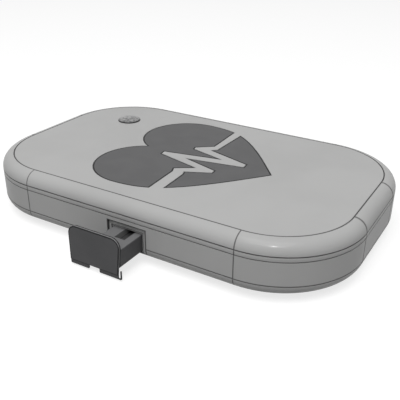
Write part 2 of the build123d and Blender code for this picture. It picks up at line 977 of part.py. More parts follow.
def case_screws():
    screws = []
    for x, y in screw_places:
        low = counterbore_depth - screw_head_height
        head = post(x, y, low, counterbore_depth, screw_head_radius)
        head = fillet(head.edges().group_by(Axis.Z)[0], head_edge_round)
        head -= Pos(x, y, low) * extrude(RegularPolygon(hex_radius, 6), hex_depth)
        screws.append(head + post(x, y, counterbore_depth, band_bottom + screw_bite, screw_radius))
    return group(screws)


def small_screw(x, y, seat, length):
    top = seat + small_head_height
    head = post(x, y, seat, top, small_head_radius)
    head = fillet(head.edges().group_by(Axis.Z)[-1], small_head_round)
    head -= standing(x, y, top - slot_cut, 2 * small_head_radius, slot_cut, slot_cut)
    return head + post(x, y, seat - length, seat, small_screw_radius)


def board_screws():
    upper = [small_screw(x, y, board_top, board_screw_length) for x, y in board_posts()]
    lower = [small_screw(x, y, power_top, power_screw_length) for x, y in power_posts()]
    ears = [small_screw(x, y, relay_base + relay_ear_thickness, relay_ear_thickness + relay_lift / 2)
            for x, y in relay_posts()]
    return group(upper + lower + ears)


def socket_screws():
    return group([small_screw(x, y, wall + ear_thickness, ear_thickness)
                  for x, y in ear_places()])


def rubber_foot(x, y):
    pad = post(x, y, -pad_height, pad_pocket, pad_radius)
    return fillet(pad.edges().group_by(Axis.Z)[0], pad_edge_round)


# Boards and what they carry

def main_board():
    board = block(board_left, board_right, board_front, board_back, board_base, board_top)
    board = fillet(board.edges().filter_by(Axis.Z), board_corner)
    for x, y in screw_places:
        board -= post(x, y, board_base, board_top, boss_radius + boss_clearance)
    for x, y in board_posts():
        board -= post(x, y, board_base, board_top, small_screw_radius)
    return board


def board_chips():
    chips = []
    for inset_x, inset_y, length, width, height in chip_table:
        chip = standing(board_right - inset_x, board_front + inset_y, board_top,
                        length, width, height)
        chips.append(chamfer(chip.edges().group_by(Axis.Z)[-1], chip_edge_break))
    return group(chips)


def board_sockets():
    places = [(board_right - board_socket_inset_x, board_back - board_socket_inset_y),
              (board_right - board_socket_inset_x, board_front + board_socket_inset_y),
              (board_left + speaker_socket_inset_x, board_front + speaker_socket_inset_y)]
    sockets = []
    for x, y in places:
        body = standing(x, y, board_top,
                        board_socket_length, board_socket_width, board_socket_height)
        body -= standing(x, y, board_top + board_socket_floor,
                         board_socket_length - 2 * board_socket_wall,
                         board_socket_width - 2 * board_socket_wall, board_socket_height)
        sockets.append(body)
    return group(sockets)


def power_board():
    board = block(power_left, power_right, power_front, power_back, power_base, power_top)
    board = fillet(board.edges().filter_by(Axis.Z), power_corner)
    for x, y in power_posts():
        board -= post(x, y, power_base, power_top, small_screw_radius)
    return board


def transformer_core():
    """Closed frame with a middle leg, which the winding goes round."""
    core = block(transformer_left, transformer_right, transformer_front, transformer_back,
                 power_top, transformer_top)
    window = block(transformer_left + core_limb, transformer_right - core_limb,
                   transformer_front - 1, transformer_back + 1,
                   power_top + core_yoke, transformer_top - core_yoke)
    middle = (transformer_left + transformer_right) / 2
    leg = block(middle - core_leg / 2, middle + core_leg / 2, transformer_front, transformer_back,
                power_top + core_yoke - weld, transformer_top - core_yoke + weld)
    return core - window + leg


def transformer_winding():
    middle = (transformer_left + transformer_right) / 2
    leg_half = core_leg / 2 + winding_fit
    winding = block(transformer_left + core_limb + winding_gap,
                    transformer_right - core_limb - winding_gap,
                    transformer_front - winding_overhang, transformer_back + winding_overhang,
                    power_top + core_yoke + winding_fit, transformer_top - core_yoke - winding_fit)
    winding = fillet(winding.edges().filter_by(Axis.Z), winding_corner)
    return winding - block(middle - leg_half, middle + leg_half,
                           transformer_front - winding_fit, transformer_back + winding_fit,
                           power_top, transformer_top)


def discharge_relay():
    """Sealed relay with an ear at each end, screwed to two posts on the floor."""
    right = relay_left + relay_length
    rear = relay_front + relay_width
    body = block(relay_left, right, relay_front, rear, relay_base, relay_base + relay_height)
    body = fillet(body.edges().group_by(Axis.Z)[-1] + body.edges().filter_by(Axis.Z), relay_round)
    ear_half = post_radius + relay_round
    middle = (relay_left + right) / 2
    body += block(middle - ear_half, middle + ear_half, relay_front - relay_ear,
                  rear + relay_ear, relay_base, relay_base + relay_ear_thickness)
    for x, y in relay_posts():
        body -= post(x, y, 0, relay_base + relay_ear_thickness, small_screw_radius)
    return body


def bridge_heatsink():
    plate_top = sink_bottom + sink_base
    sink = block(sink_left, sink_left + sink_length, sink_front, sink_back, sink_bottom, plate_top)
    step = (sink_length - sink_fin_thickness) / (sink_fin_count - 1)
    for n in range(sink_fin_count):
        x = sink_left + n * step
        sink += block(x, x + sink_fin_thickness, sink_front, sink_back,
                      plate_top - weld, ceiling - sink_top_gap)
    return sink


def bridge_switches():
    """Flat power switches between the board and the heat sink, in as many rows as it covers."""
    pitch_x = switch_chip_width + switch_chip_gap_x
    pitch_y = switch_chip_length + switch_chip_gap_y
    columns = int((sink_length + switch_chip_gap_x) // pitch_x)
    rows = int((sink_back - sink_front + switch_chip_gap_y) // pitch_y)
    chips = []
    for column in range(columns):
        for row in range(rows):
            x = sink_left + switch_chip_inset + column * pitch_x
            y = sink_front + switch_chip_inset + row * pitch_y
            chips.append(block(x, x + switch_chip_width, y, y + switch_chip_length,
                               power_top, sink_bottom))
    return group(chips)


def capacitor_places():
    return [capacitor_first + n * capacitor_pitch for n in range(capacitor_count)]


def capacitor_cradle():
    """Plate with two saddles that the capacitors lie in."""
    left = capacitor_first - capacitor_radius
    right = capacitor_last + capacitor_radius
    cradle = block(left, right, capacitor_front, capacitor_back, wall, wall + cradle_plate)
    for y in (capacitor_front + saddle_inset,
              capacitor_back - saddle_inset - saddle_thickness):
        cradle += block(left, right, y, y + saddle_thickness, wall, capacitor_z - saddle_drop)
    for x in capacitor_places():
        cradle -= rod(x, capacitor_front, capacitor_back, capacitor_z, capacitor_radius)
    return cradle


def shock_capacitor(x):
    can = rod(x, capacitor_front, capacitor_back, capacitor_z, capacitor_radius)
    can = fillet(can.edges(), capacitor_round)
    for side in (-terminal_offset, terminal_offset):
        can += rod(x + side, capacitor_back - weld, capacitor_back + terminal_length,
                   capacitor_z, terminal_radius)
    return can


# Speaker

def speaker_frame():
    """Pressed basket: a flat rim on the floor, a cone with round windows and the magnet's seat."""
    inner = speaker_radius - speaker_rim
    rim_top = wall + speaker_rim_height
    seat = speaker_top - magnet_height
    profile = make_face(Polyline(
        (inner, wall), (speaker_radius, wall), (speaker_radius, rim_top),
        (inner + basket_wall, rim_top + basket_wall / 2), (magnet_radius, seat),
        (magnet_radius - speaker_rim, seat), (magnet_radius - speaker_rim, seat - basket_wall),
        (magnet_radius - basket_wall, seat - basket_wall), (inner, rim_top), close=True))
    basket = revolve(Plane.XZ * profile, Axis.Z)
    for window in PolarLocations((inner + magnet_radius) / 2, basket_window_count):
        basket -= window * Pos(0, 0, speaker_top / 2 + rim_top / 2) * Cylinder(
            basket_window_radius, speaker_top - rim_top)
    return Pos(speaker_x, speaker_y, 0) * basket


def speaker_cone():
    edge = speaker_radius - speaker_rim
    low = wall + cone_gap
    high = low + cone_thickness
    profile = make_face(Polyline(
        (edge, low), (edge, high), (dust_cap_radius, high + cone_rise),
        (0, high + cone_rise - dust_cap_dip), (0, low + cone_rise - dust_cap_dip),
        (dust_cap_radius, low + cone_rise), close=True))
    return Pos(speaker_x, speaker_y, 0) * revolve(Plane.XZ * profile, Axis.Z)


def speaker_magnet():
    pot = post(speaker_x, speaker_y, speaker_top - magnet_height, speaker_top, magnet_radius)
    return fillet(pot.edges().group_by(Axis.Z)[-1], magnet_edge_round)


# The whole part

def model():
    parts = {
        "lower_shell": lower_shell(), "upper_shell": upper_shell(), "seam_band": seam_band(),
        "seam_gasket": seam_gasket(), "top_panel": top_panel()}
    for name, face in heart_faces(inlay_gap).items():
        parts[name] = heart_block(face, heart_depth)
    parts["power_button"] = power_button()
    parts["button_return"] = button_return()
    parts["tactile_switch"] = tactile_switch()
    parts["status_led"] = status_led()
    parts["light_guide"] = light_guide()
    parts["plug_grip"] = plug_grip()
    parts["plug_block"] = plug_block()
    parts["plug_sleeves"] = plug_sleeves()
    parts["pad_socket"] = pad_socket()
    parts["socket_pins"] = socket_pins()
    parts["socket_screws"] = socket_screws()
    parts["battery_tray"] = battery_tray()
    parts["battery_cells"] = battery_cells()
    parts["battery_links"] = battery_links()
    parts["battery_cap"] = battery_cap()
    parts["cap_screws"] = cap_screws()
    parts["battery_bay"] = battery_bay()
    parts["bay_contacts"] = bay_contacts()
    parts["case_screws"] = case_screws()
    parts["board_screws"] = board_screws()
    for name, (x, y) in pad_places().items():
        parts[name] = rubber_foot(x, y)
    parts["main_board"] = main_board()
    parts["board_chips"] = board_chips()
    parts["board_sockets"] = board_sockets()
    parts["power_board"] = power_board()
    parts["transformer_core"] = transformer_core()
    parts["transformer_winding"] = transformer_winding()
    parts["discharge_relay"] = discharge_relay()
    parts["bridge_heatsink"] = bridge_heatsink()
    parts["bridge_switches"] = bridge_switches()
    parts["capacitor_cradle"] = capacitor_cradle()
    for n, x in enumerate(capacitor_places()):
        parts[f"shock_capacitor_{n + 1}"] = shock_capacitor(x)
    parts["speaker_frame"] = speaker_frame()
    parts["speaker_cone"] = speaker_cone()
    parts["speaker_magnet"] = speaker_magnet()
    return parts


os.makedirs("parts", exist_ok=True)
for name, solid in model().items():
    export_step(solid, f"parts/{name}.step")
    print(name)
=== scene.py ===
import bmesh
import bpy
import json
from math import cos, pi, radians, sin, tau
from mathutils import Matrix, Vector


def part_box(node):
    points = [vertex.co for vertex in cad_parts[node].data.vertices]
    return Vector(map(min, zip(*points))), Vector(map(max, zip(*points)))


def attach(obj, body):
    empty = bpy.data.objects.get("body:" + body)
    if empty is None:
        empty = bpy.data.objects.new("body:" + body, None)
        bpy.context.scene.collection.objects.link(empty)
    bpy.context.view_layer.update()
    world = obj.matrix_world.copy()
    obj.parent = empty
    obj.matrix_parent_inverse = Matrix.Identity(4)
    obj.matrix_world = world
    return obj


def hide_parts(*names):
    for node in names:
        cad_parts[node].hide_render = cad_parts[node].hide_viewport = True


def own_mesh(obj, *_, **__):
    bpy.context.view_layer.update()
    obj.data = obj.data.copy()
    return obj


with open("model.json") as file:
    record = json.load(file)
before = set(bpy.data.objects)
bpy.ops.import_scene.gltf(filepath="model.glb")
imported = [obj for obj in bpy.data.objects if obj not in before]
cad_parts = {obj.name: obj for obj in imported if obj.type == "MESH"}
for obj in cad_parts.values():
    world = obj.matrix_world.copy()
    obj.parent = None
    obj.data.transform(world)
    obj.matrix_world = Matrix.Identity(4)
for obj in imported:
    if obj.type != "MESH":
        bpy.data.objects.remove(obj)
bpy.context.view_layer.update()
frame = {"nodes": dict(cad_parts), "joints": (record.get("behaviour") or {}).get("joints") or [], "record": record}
nodes = frame["nodes"]
print("frame loaded:", len(nodes), "nodes")

# Case sizes, read from the frame where a box gives them
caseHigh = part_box("lower_shell")[1]
bandLow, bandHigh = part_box("seam_band")
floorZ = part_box("foot_front_left")[0].z
caseShape = {
    "halfLength": caseHigh.x,
    "halfWidth": caseHigh.y,
    "cornerRadius": 0.0506,
    "topRound": 0.0075,
    "bottomRound": 0.0068,
    "wall": 0.0022,
}
straightX = caseShape["halfLength"] - caseShape["cornerRadius"]   # where the rounded corners start
straightY = caseShape["halfWidth"] - caseShape["cornerRadius"]


# Node maths, for materials and for geometry trees

noiseSpan = (0.3, 0.7)       # where most of a noise's values lie


class Signal:
    # One socket of a node tree. Sums and products of signals add the Math nodes.
    def __init__(self, tree, socket=None):
        self.tree = tree
        self.socket = socket

    def make(self, kind, settings, values, output=0):
        # Any node: its settings first, then the values or links of its sockets
        node = self.tree.nodes.new(kind)
        for name, value in settings.items():
            setattr(node, name, value)
        for name, value in values.items():
            if isinstance(value, Signal):
                self.tree.links.new(value.socket, node.inputs[name])
            else:
                node.inputs[name].default_value = value
        return Signal(self.tree, node.outputs[output])

    def math(self, operation, *values):
        return self.make("ShaderNodeMath", {"operation": operation}, dict(enumerate(values)))

    def __add__(self, other):
        return self.math("ADD", self, other)

    def __radd__(self, other):
        return self.math("ADD", other, self)

    def __sub__(self, other):
        return self.math("SUBTRACT", self, other)

    def __rsub__(self, other):
        return self.math("SUBTRACT", other, self)

    def __mul__(self, other):
        return self.math("MULTIPLY", self, other)

    def __rmul__(self, other):
        return self.math("MULTIPLY", other, self)

    def __abs__(self):
        return self.math("ABSOLUTE", self)

    def over(self, other):
        return self.math("MAXIMUM", self, other)

    def root(self):
        return self.math("SQRT", self)

    def above(self, level):
        return self.math("GREATER_THAN", self, level)

    def below(self, level):
        return self.math("LESS_THAN", self, level)

    def fold(self, scale):
        # Up and down between 0 and 1, again and again
        return self.math("PINGPONG", self * scale, 1.0)

    def ease(self, low, high):
        # 0 at low, 1 at high, smooth between
        span = {"interpolation_type": "SMOOTHSTEP"}
        return self.make("ShaderNodeMapRange", span, {"Value": self, "From Min": low, "From Max": high})

    def full(self):
        # Noise drawn out to the whole span from 0 to 1
        return self.ease(*noiseSpan)

    def around(self, level, span):
        # Values about a level, from a signal about one half
        return self * span + (level - span / 2)

    def noise(self, scale, detail=2.0, roughness=0.5):
        # self is a place; the result runs from about 0.2 to 0.8
        return self.make("ShaderNodeTexNoise", {}, {
            "Vector": self, "Scale": scale, "Detail": detail, "Roughness": roughness})

    def split(self):
        parts = self.make("ShaderNodeSeparateXYZ", {}, {"Vector": self}).socket.node.outputs
        return [Signal(self.tree, part) for part in parts]


def tint(start, share, low, high):
    # A colour between low and high, by share
    mix = start.tree.nodes.new("ShaderNodeMix")
    mix.data_type = "RGBA"
    start.tree.links.new(share.socket, mix.inputs[0])
    for socket, colour in ((mix.inputs[6], low), (mix.inputs[7], high)):
        if isinstance(colour, Signal):
            start.tree.links.new(colour.socket, socket)
        else:
            socket.default_value = (*colour, 1.0)
    return Signal(start.tree, mix.outputs[2])


def shades(colour, spread):
    # A darker and a lighter shade of one colour
    return [tuple(min(1.0, c * (1 + side * spread)) for c in colour) for side in (-1, 1)]


def newFinish(name, fixed):
    # A material whose constants stand on the shader's own sockets
    material = bpy.data.materials.new(name)
    material.use_nodes = True
    shader = material.node_tree.nodes["Principled BSDF"]
    for socket, value in fixed.items():
        shader.inputs[socket].default_value = value
    start = Signal(material.node_tree)
    place = start.make("ShaderNodeTexCoord", {}, {}, "Object")
    return material, shader, start, place


def drive(start, shader, **links):
    for name, signal in links.items():
        start.tree.links.new(signal.socket, shader.inputs[name.replace("_", " ")])


def bump(start, height):
    return start.make("ShaderNodeBump", {}, {"Height": height, "Distance": 1.0})


def edgeMark(start):
    # The mark that softCopy leaves on rounded edges and borders
    return start.make("ShaderNodeAttribute", {"attribute_name": "edge"}, {}, "Fac")


# Lines and borders drawn on a surface by its own coordinates

lineFade = (0.4, 1.3)        # where a line's side starts and ends its fade, in half widths
hair = 0.0001                # a mask reaches this far past the face that it is meant for


def lineAt(value, where, half):
    # 1 where a value is reached, 0 away from there
    start, end = lineFade
    return 1.0 - abs(value - where).ease(half * start, half * end)


def planInset(x, y):
    # Distance outside the case's plan, negative inside
    dx = (abs(x) - straightX).over(0.0)
    dy = (abs(y) - straightY).over(0.0)
    return (dx * dx + dy * dy).root() - caseShape["cornerRadius"]


def openingBorder(x, z, margins):
    # Distance outside a rectangle round the plug's block, seen from the front
    low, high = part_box("plug_block")
    left, right, below, above = margins
    xLow, xHigh, zLow, zHigh = low.x - left, high.x + right, low.z - below, high.z + above
    across = abs(x - (xLow + xHigh) / 2) - (xHigh - xLow) / 2
    return across.over(abs(z - (zLow + zHigh) / 2) - (zHigh - zLow) / 2)


# Case plastic

shellLook = {
    "colour": (0.450, 0.450, 0.447),
    "spread": 0.03,          # how far the colour drifts over the moulding
    "driftScale": 22.0,
    "driftDetail": 3.0,
    "grainScale": 2600.0,
    "grainDepth": 0.000012,
    "roughness": (0.50, 0.10),         # its level and how far it drifts
    "specular": 0.03,
    "coat": 0.20,            # a thin smooth skin over the grain
    "coatRoughness": 0.18,
    "lineHalf": 0.00040,     # half width of a mould witness line
    "endLineHalf": 0.00085,  # and of one on the case's two ends
    "lineReach": 0.0009,     # how far in from the wall's face the level line goes
    "lineDark": 0.74,
    "lineDepth": 0.00010,
    "seamHalves": (0.00026, 0.00042),  # half widths of the band's lower and upper seam
    "seamReach": 0.0012,     # how far in they go
    "gapHalf": 0.00048,      # half width of the gap round the top panel and of the recess's border
    "gapIn": 0.0001,         # how far inside the rolled edge that gap lies
    "tunnelHalf": 0.00034,
    "jointDark": 0.84,
    "shade": (0.04, 0.04, 0.04),
}

# How far the shade round the recess and the tunnel stand off the plug's block: left, right, below, above
recessShade = (0.0030, 0.0034, 0.0010, 0.0040)
tunnelMargins = (0.0010, 0.0010, 0.0006, 0.0012)


def witnessLines(x, y, z, look):
    # Fine lines where the rounded corners meet the straight walls, and along the lower edge
    half = look["lineHalf"]
    longSide = abs(y).above(caseShape["halfWidth"] - caseShape["topRound"])
    shortSide = abs(x).above(caseShape["halfLength"] - caseShape["topRound"])
    skin = planInset(x, y).above(-look["lineReach"])
    upright = (lineAt(abs(x), straightX, half) * longSide).over(
        lineAt(abs(y), straightY, look["endLineHalf"]) * shortSide)
    level = lineAt(z, caseShape["bottomRound"], half) * skin
    return upright.over(level)


def jointShade(x, y, z, look):
    # Shade in the band's two seams, in the gap round the top panel, and round the recess and tunnel
    inset = planInset(x, y)
    lower, upper = look["seamHalves"]
    seams = lineAt(z, bandLow.z, lower).over(lineAt(z, bandHigh.z, upper))
    seams = seams * inset.above(-look["seamReach"])
    gap = lineAt(inset, -caseShape["topRound"] - look["gapIn"], look["gapHalf"]) * z.above(bandHigh.z)
    borders = lineAt(openingBorder(x, z, recessShade), 0.0, look["gapHalf"]).over(
        lineAt(openingBorder(x, z, tunnelMargins), 0.0, look["tunnelHalf"]))
    return seams.over(gap).over(borders * y.below(-caseShape["halfWidth"] + caseShape["wall"]))


def casePlastic(name, lines):
    look = shellLook
    material, shader, start, place = newFinish(name, {
        "Specular IOR Level": look["specular"],
        "Coat Weight": look["coat"], "Coat Roughness": look["coatRoughness"]})
    x, y, z = place.split()
    drift = place.noise(look["driftScale"], look["driftDetail"])
    colour = tint(start, drift.full(), *shades(look["colour"], look["spread"]))
    height = place.noise(look["grainScale"]) * look["grainDepth"]
    shade = jointShade(x, y, z, look) * look["jointDark"]
    if lines:
        mask = witnessLines(x, y, z, look)
        shade = shade.over(mask * look["lineDark"])
        height = height - mask * look["lineDepth"]
    drive(start, shader,
          Base_Color=tint(start, shade, colour, look["shade"]),
          Roughness=drift.around(*look["roughness"]),
          Normal=bump(start, height))
    return material


def shellPlastic(name):
    return casePlastic(name, True)


def panelPlastic(name):
    return casePlastic(name, False)


# Plain mouldings and rubber: colour, roughness, grain scale and grain depth

mouldings = {
    "heart_dark": ((0.108, 0.108, 0.110), 0.60, 3200.0, 0.000008),
    "socket_black": ((0.070, 0.070, 0.071), 0.60, 2000.0, 0.000014),
    "inner_plastic": ((0.085, 0.086, 0.090), 0.55, 2000.0, 0.000014),
    "seal_rubber": ((0.030, 0.030, 0.030), 0.75, 2800.0, 0.000020),
    "foot_rubber": ((0.038, 0.038, 0.039), 0.78, 1600.0, 0.000030),
    "switch_black": ((0.030, 0.030, 0.032), 0.45, 2800.0, 0.000006),
    "chip_black": ((0.028, 0.028, 0.030), 0.60, 3800.0, 0.000008),
    "connector_white": ((0.760, 0.750, 0.700), 0.45, 2600.0, 0.000006),
    "relay_blue": ((0.045, 0.110, 0.330), 0.32, 2600.0, 0.000005),
}

plainLook = {
    "specular": 0.2,
    "driftScale": 60.0,
    "driftDetail": 3.0,
    "spread": 0.07,          # how far the colour drifts
    "roughnessDrift": 0.14,
    "edgeShare": 0.15,       # how much of the colour is left in a dark edge
}


def moulding(name):
    colour, roughness, grain, depth = mouldings[name]
    look = plainLook
    material, shader, start, place = newFinish(name, {"Specular IOR Level": look["specular"]})
    drift = place.noise(look["driftScale"], look["driftDetail"])
    body = tint(start, drift.full(), *shades(colour, look["spread"]))
    drive(start, shader,
          Base_Color=tint(start, edgeMark(start), body, tuple(c * look["edgeShare"] for c in colour)),
          Roughness=drift.around(roughness, look["roughnessDrift"]),
          Normal=bump(start, place.noise(grain) * depth))
    return material


# Plastic of the plug, with painted light on its top, rim and key slot

plugLook = {
    "colour": (0.092, 0.092, 0.095),
    "top": (0.165, 0.165, 0.168),        # the block's top, painted paler: painted light on its upward face
    "rim": (0.215, 0.215, 0.218),        # the grip plate's rim, painted pale: a painted highlight on its edge
    "rimStart": 0.0032,                  # the rim's painted highlight starts above the catch
    "rimIn": 0.0003,
    "outline": (0.012, 0.012, 0.013),    # round the plate's front face and behind its rim
    "outlineWidth": 0.00065,
    "outlineBack": 0.00075,
    "corner": 0.0055,
    "lean": 0.0972,                      # how much the plate's right edge draws in, per length down
    "shade": (0.034, 0.034, 0.035),      # along the edges
    "footDrop": 0.0025,                  # the plate's two feet, under the line where they start
    "footLineHalf": 0.00042,
    "footShade": 0.2,
    "slotFloorShade": (0.050, 0.050, 0.051),  # inside the key slot: painted shade on its floor
    # painted light on the slot's walls, which lie in shade
    "slotWallsLit": (0.240, 0.240, 0.242),
    "slotLeft": 0.0080,                  # the slot's sides and start, from the block's corner
    "slotRight": 0.0146,
    "slotStart": 0.0101,
    "slotDepth": 0.0035,
    "roughness": 0.62,
    "grainScale": 2400.0,
    "grainDepth": 0.000018,
}


def plateInset(x, z, look):
    # Distance outside the grip plate's outline, seen from the front, negative inside
    low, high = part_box("plug_grip")
    right = high.x - (high.z - z) * look["lean"]
    dx = (x - right + look["corner"]).over(low.x + look["corner"] - x).over(0.0)
    dz = (z - (high.z - look["corner"])).over(0.0)
    return (dx * dx + dz * dz).root() - look["corner"]


def plateMasks(x, y, z, look):
    # The grip plate's rim, painted pale as a painted highlight, and the dark outline before and behind it
    low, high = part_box("plug_grip")
    front, back = low.y + look["rimIn"], high.y
    rim = y.above(front) * y.below(back - look["rimIn"]) * z.above(look["rimStart"])
    inset = plateInset(x, z, look)
    before = inset.above(-look["outlineWidth"]) * y.below(front)
    behind = inset.above(-look["outlineBack"]) * y.above(back - look["outlineBack"]) * y.below(back + hair)
    outline = before.over(behind) * inset.below(2 * hair) * z.above(low.z + look["footDrop"])
    return rim, outline


def footMask(y, z, look):
    # The line where the plate's feet start, and a light shade on them
    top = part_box("plug_grip")[0].z + look["footDrop"]
    mask = lineAt(z, top, look["footLineHalf"]).over(z.below(top) * look["footShade"])
    return mask * y.below(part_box("plug_block")[0].y)


def slotMasks(x, y, z, look):
    # Bottom and walls of the key slot in the block's top, where shade and light are painted
    low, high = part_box("plug_block")
    floor = high.z - look["slotDepth"]
    inside = x.above(low.x + look["slotLeft"] - hair) * x.below(low.x + look["slotRight"] + hair)
    inside = inside * y.above(low.y + look["slotStart"] - hair)
    walls = inside * z.above(floor + 2 * hair) * z.below(high.z - hair)
    return inside * abs(z - floor).below(2 * hair), walls


def plugPlastic(name):
    look, plain = plugLook, plainLook
    material, shader, start, place = newFinish(name, {"Specular IOR Level": plain["specular"]})
    x, y, z = place.split()
    drift = place.noise(plain["driftScale"], plain["driftDetail"])
    # painted light: the block's top is painted paler, as if it took more light
    paintedLitTop = z.above(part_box("plug_block")[1].z - hair) * y.above(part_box("plug_grip")[1].y + hair)
    rim, outline = plateMasks(x, y, z, look)
    bottom, walls = slotMasks(x, y, z, look)
    edges = edgeMark(start).over(footMask(y, z, look))
    colour = tint(start, drift.full(), *shades(look["colour"], plain["spread"]))
    # painted light on the block's top, the plate's rim and the slot's walls; painted shade on the slot's floor
    for mask, part in (
            (paintedLitTop, "top"), (rim, "rim"), (bottom, "slotFloorShade"), (walls, "slotWallsLit"),
            (edges, "shade"), (outline, "outline")):
        colour = tint(start, mask, colour, look[part])
    drive(start, shader,
          Base_Color=colour,
          Roughness=drift.around(look["roughness"], plain["roughnessDrift"]),
          Normal=bump(start, place.noise(look["grainScale"]) * look["grainDepth"]))
    return material


# Metals: colour, roughness and how their fine marks are stretched

metals = {
    "contact_brass": ((0.72, 0.55, 0.28), 0.30, (1.0, 0.15, 1.0)),
    "screw_steel": ((0.52, 0.52, 0.53), 0.36, (1.0, 1.0, 0.2)),
    "sink_aluminium": ((0.66, 0.67, 0.69), 0.40, (1.0, 0.08, 1.0)),
    "speaker_steel": ((0.34, 0.34, 0.35), 0.42, (1.0, 1.0, 1.0)),
    "nickel_strip": ((0.62, 0.61, 0.58), 0.29, (0.12, 1.0, 1.0)),
}

metalLook = {
    "markScale": 1800.0,
    "markDetail": 3.0,
    "markRoughness": 0.6,
    "markDepth": 0.000010,
    "roughnessDrift": 0.22,
    "stainScale": 240.0,
    "spread": 0.1,           # how far the stains change the colour
}


def metal(name):
    colour, roughness, stretch = metals[name]
    look = metalLook
    material, shader, start, place = newFinish(name, {"Metallic": 1.0})
    drawn = start.make("ShaderNodeMapping", {}, {"Vector": place, "Scale": stretch})
    marks = drawn.noise(look["markScale"], look["markDetail"], look["markRoughness"])
    stain = place.noise(look["stainScale"])
    drive(start, shader,
          Base_Color=tint(start, stain.full(), *shades(colour, look["spread"])),
          Roughness=marks.around(roughness, look["roughnessDrift"]),
          Normal=bump(start, marks * look["markDepth"]))
    return material


# Button: a polished dome with faint clouds under its surface and painted shade round its lower side

buttonLook = {
    "dark": (0.105, 0.105, 0.108),
    "light": (0.330, 0.330, 0.328),
    # painted shade on the dome's lower side
    "rim": (0.045, 0.045, 0.046),
    "rimBelow": 0.0011,      # how far under its top the painted shade starts
    "rimFade": 0.000385,
    "cloudScale": 520.0,
    "cloudDetail": 4.0,
    "cloudRoughness": 0.62,
    "cloudSpan": (0.34, 0.66),
    "cloudDepth": 0.00004,
    "roughness": (0.38, 0.20),
    "specular": 0.35,
    "coat": 0.15,
    "coatRoughness": 0.2,
}


def clouded(name):
    look = buttonLook
    material, shader, start, place = newFinish(name, {
        "Specular IOR Level": look["specular"],
        "Coat Weight": look["coat"], "Coat Roughness": look["coatRoughness"]})
    clouds = place.noise(look["cloudScale"], look["cloudDetail"], look["cloudRoughness"])
    body = tint(start, clouds.ease(*look["cloudSpan"]), look["dark"], look["light"])
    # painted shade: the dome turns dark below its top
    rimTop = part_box("power_button")[1].z - look["rimBelow"]
    rim = 1.0 - place.split()[2].ease(rimTop - look["rimFade"], rimTop)
    drive(start, shader,
          Base_Color=tint(start, rim, body, look["rim"]),
          Roughness=clouds.around(*look["roughness"]),
          Normal=bump(start, clouds * look["cloudDepth"]))
    return material


# Silicone of the return dome

siliconeLook = {
    "dark": (0.52, 0.52, 0.50),
    "light": (0.66, 0.66, 0.63),
    "specular": 0.4,
    "scatter": 0.3,
    "scatterDepth": 0.002,
    "hazeScale": 300.0,
    "hazeDetail": 3.0,
    "roughness": (0.475, 0.15),
}


def milkySilicone(name):
    look = siliconeLook
    material, shader, start, place = newFinish(name, {
        "Specular IOR Level": look["specular"],
        "Subsurface Weight": look["scatter"], "Subsurface Scale": look["scatterDepth"]})
    haze = place.noise(look["hazeScale"], look["hazeDetail"])
    drive(start, shader,
          Base_Color=tint(start, haze.full(), look["dark"], look["light"]),
          Roughness=haze.around(*look["roughness"]))
    return material


# Clear moulding of the lamp and its guide

lensLook = {
    "dark": (0.66, 0.74, 0.68),
    "light": (0.82, 0.88, 0.83),
    "clearness": 0.7,
    "refraction": 1.49,
    "hazeScale": 700.0,
    "roughness": (0.15, 0.20),
}


def lampLens(name):
    look = lensLook
    material, shader, start, place = newFinish(name, {
        "Transmission Weight": look["clearness"], "IOR": look["refraction"]})
    haze = place.noise(look["hazeScale"])
    drive(start, shader,
          Base_Color=tint(start, haze, look["dark"], look["light"]),
          Roughness=haze.around(*look["roughness"]))
    return material


# Boards: green lacquer over copper tracks that run one way or the other

resistLook = {
    "lacquer": (0.012, 0.085, 0.035),
    "track": (0.030, 0.170, 0.070),
    "specular": 0.5,
    "regionScale": 70.0,
    "trackScale": 420.0,
    "trackLevel": 0.55,
    "trackHeight": 0.00002,
    "glossScale": 500.0,
    "roughness": (0.35, 0.20),
}


def solderResist(name):
    look = resistLook
    material, shader, start, place = newFinish(name, {"Specular IOR Level": look["specular"]})
    region = place.noise(look["regionScale"], 0.0).above(0.5)
    alongY, alongX = (one.fold(look["trackScale"]).above(look["trackLevel"]) for one in place.split()[:2])
    tracks = alongY * region + alongX * (1.0 - region)
    drive(start, shader,
          Base_Color=tint(start, tracks, look["lacquer"], look["track"]),
          Roughness=place.noise(look["glossScale"]).around(*look["roughness"]),
          Normal=bump(start, tracks * look["trackHeight"]))
    return material


# Core and tape of the transformer

ferriteLook = {
    "dark": (0.030, 0.030, 0.032),
    "light": (0.090, 0.090, 0.092),
    "specular": 0.5,
    "poreScale": 1500.0,
    "poreDetail": 4.0,
    "poreRoughness": 0.7,
    "poreDepth": 0.00003,
    "roughness": (0.45, 0.30),
}


def ferrite(name):
    look = ferriteLook
    material, shader, start, place = newFinish(name, {"Specular IOR Level": look["specular"]})
    pores = place.noise(look["poreScale"], look["poreDetail"], look["poreRoughness"])
    drive(start, shader,
          Base_Color=tint(start, pores.full(), look["dark"], look["light"]),
          Roughness=pores.around(*look["roughness"]),
          Normal=bump(start, pores * look["poreDepth"]))
    return material


tapeLook = {
    "dark": (0.50, 0.34, 0.04),
    "light": (0.78, 0.60, 0.13),
    "specular": 0.5,
    "turnScale": 900.0,
    "turnDepth": 0.00006,
    "roughness": (0.275, 0.15),
}


def windingTape(name):
    look = tapeLook
    material, shader, start, place = newFinish(name, {"Specular IOR Level": look["specular"]})
    turns = place.split()[2].fold(look["turnScale"])
    drive(start, shader,
          Base_Color=tint(start, turns, look["dark"], look["light"]),
          Roughness=turns.around(*look["roughness"]),
          Normal=bump(start, turns * look["turnDepth"]))
    return material


# Shrink sleeves: colour, a node that wears one, and how much of its front and back is bare metal

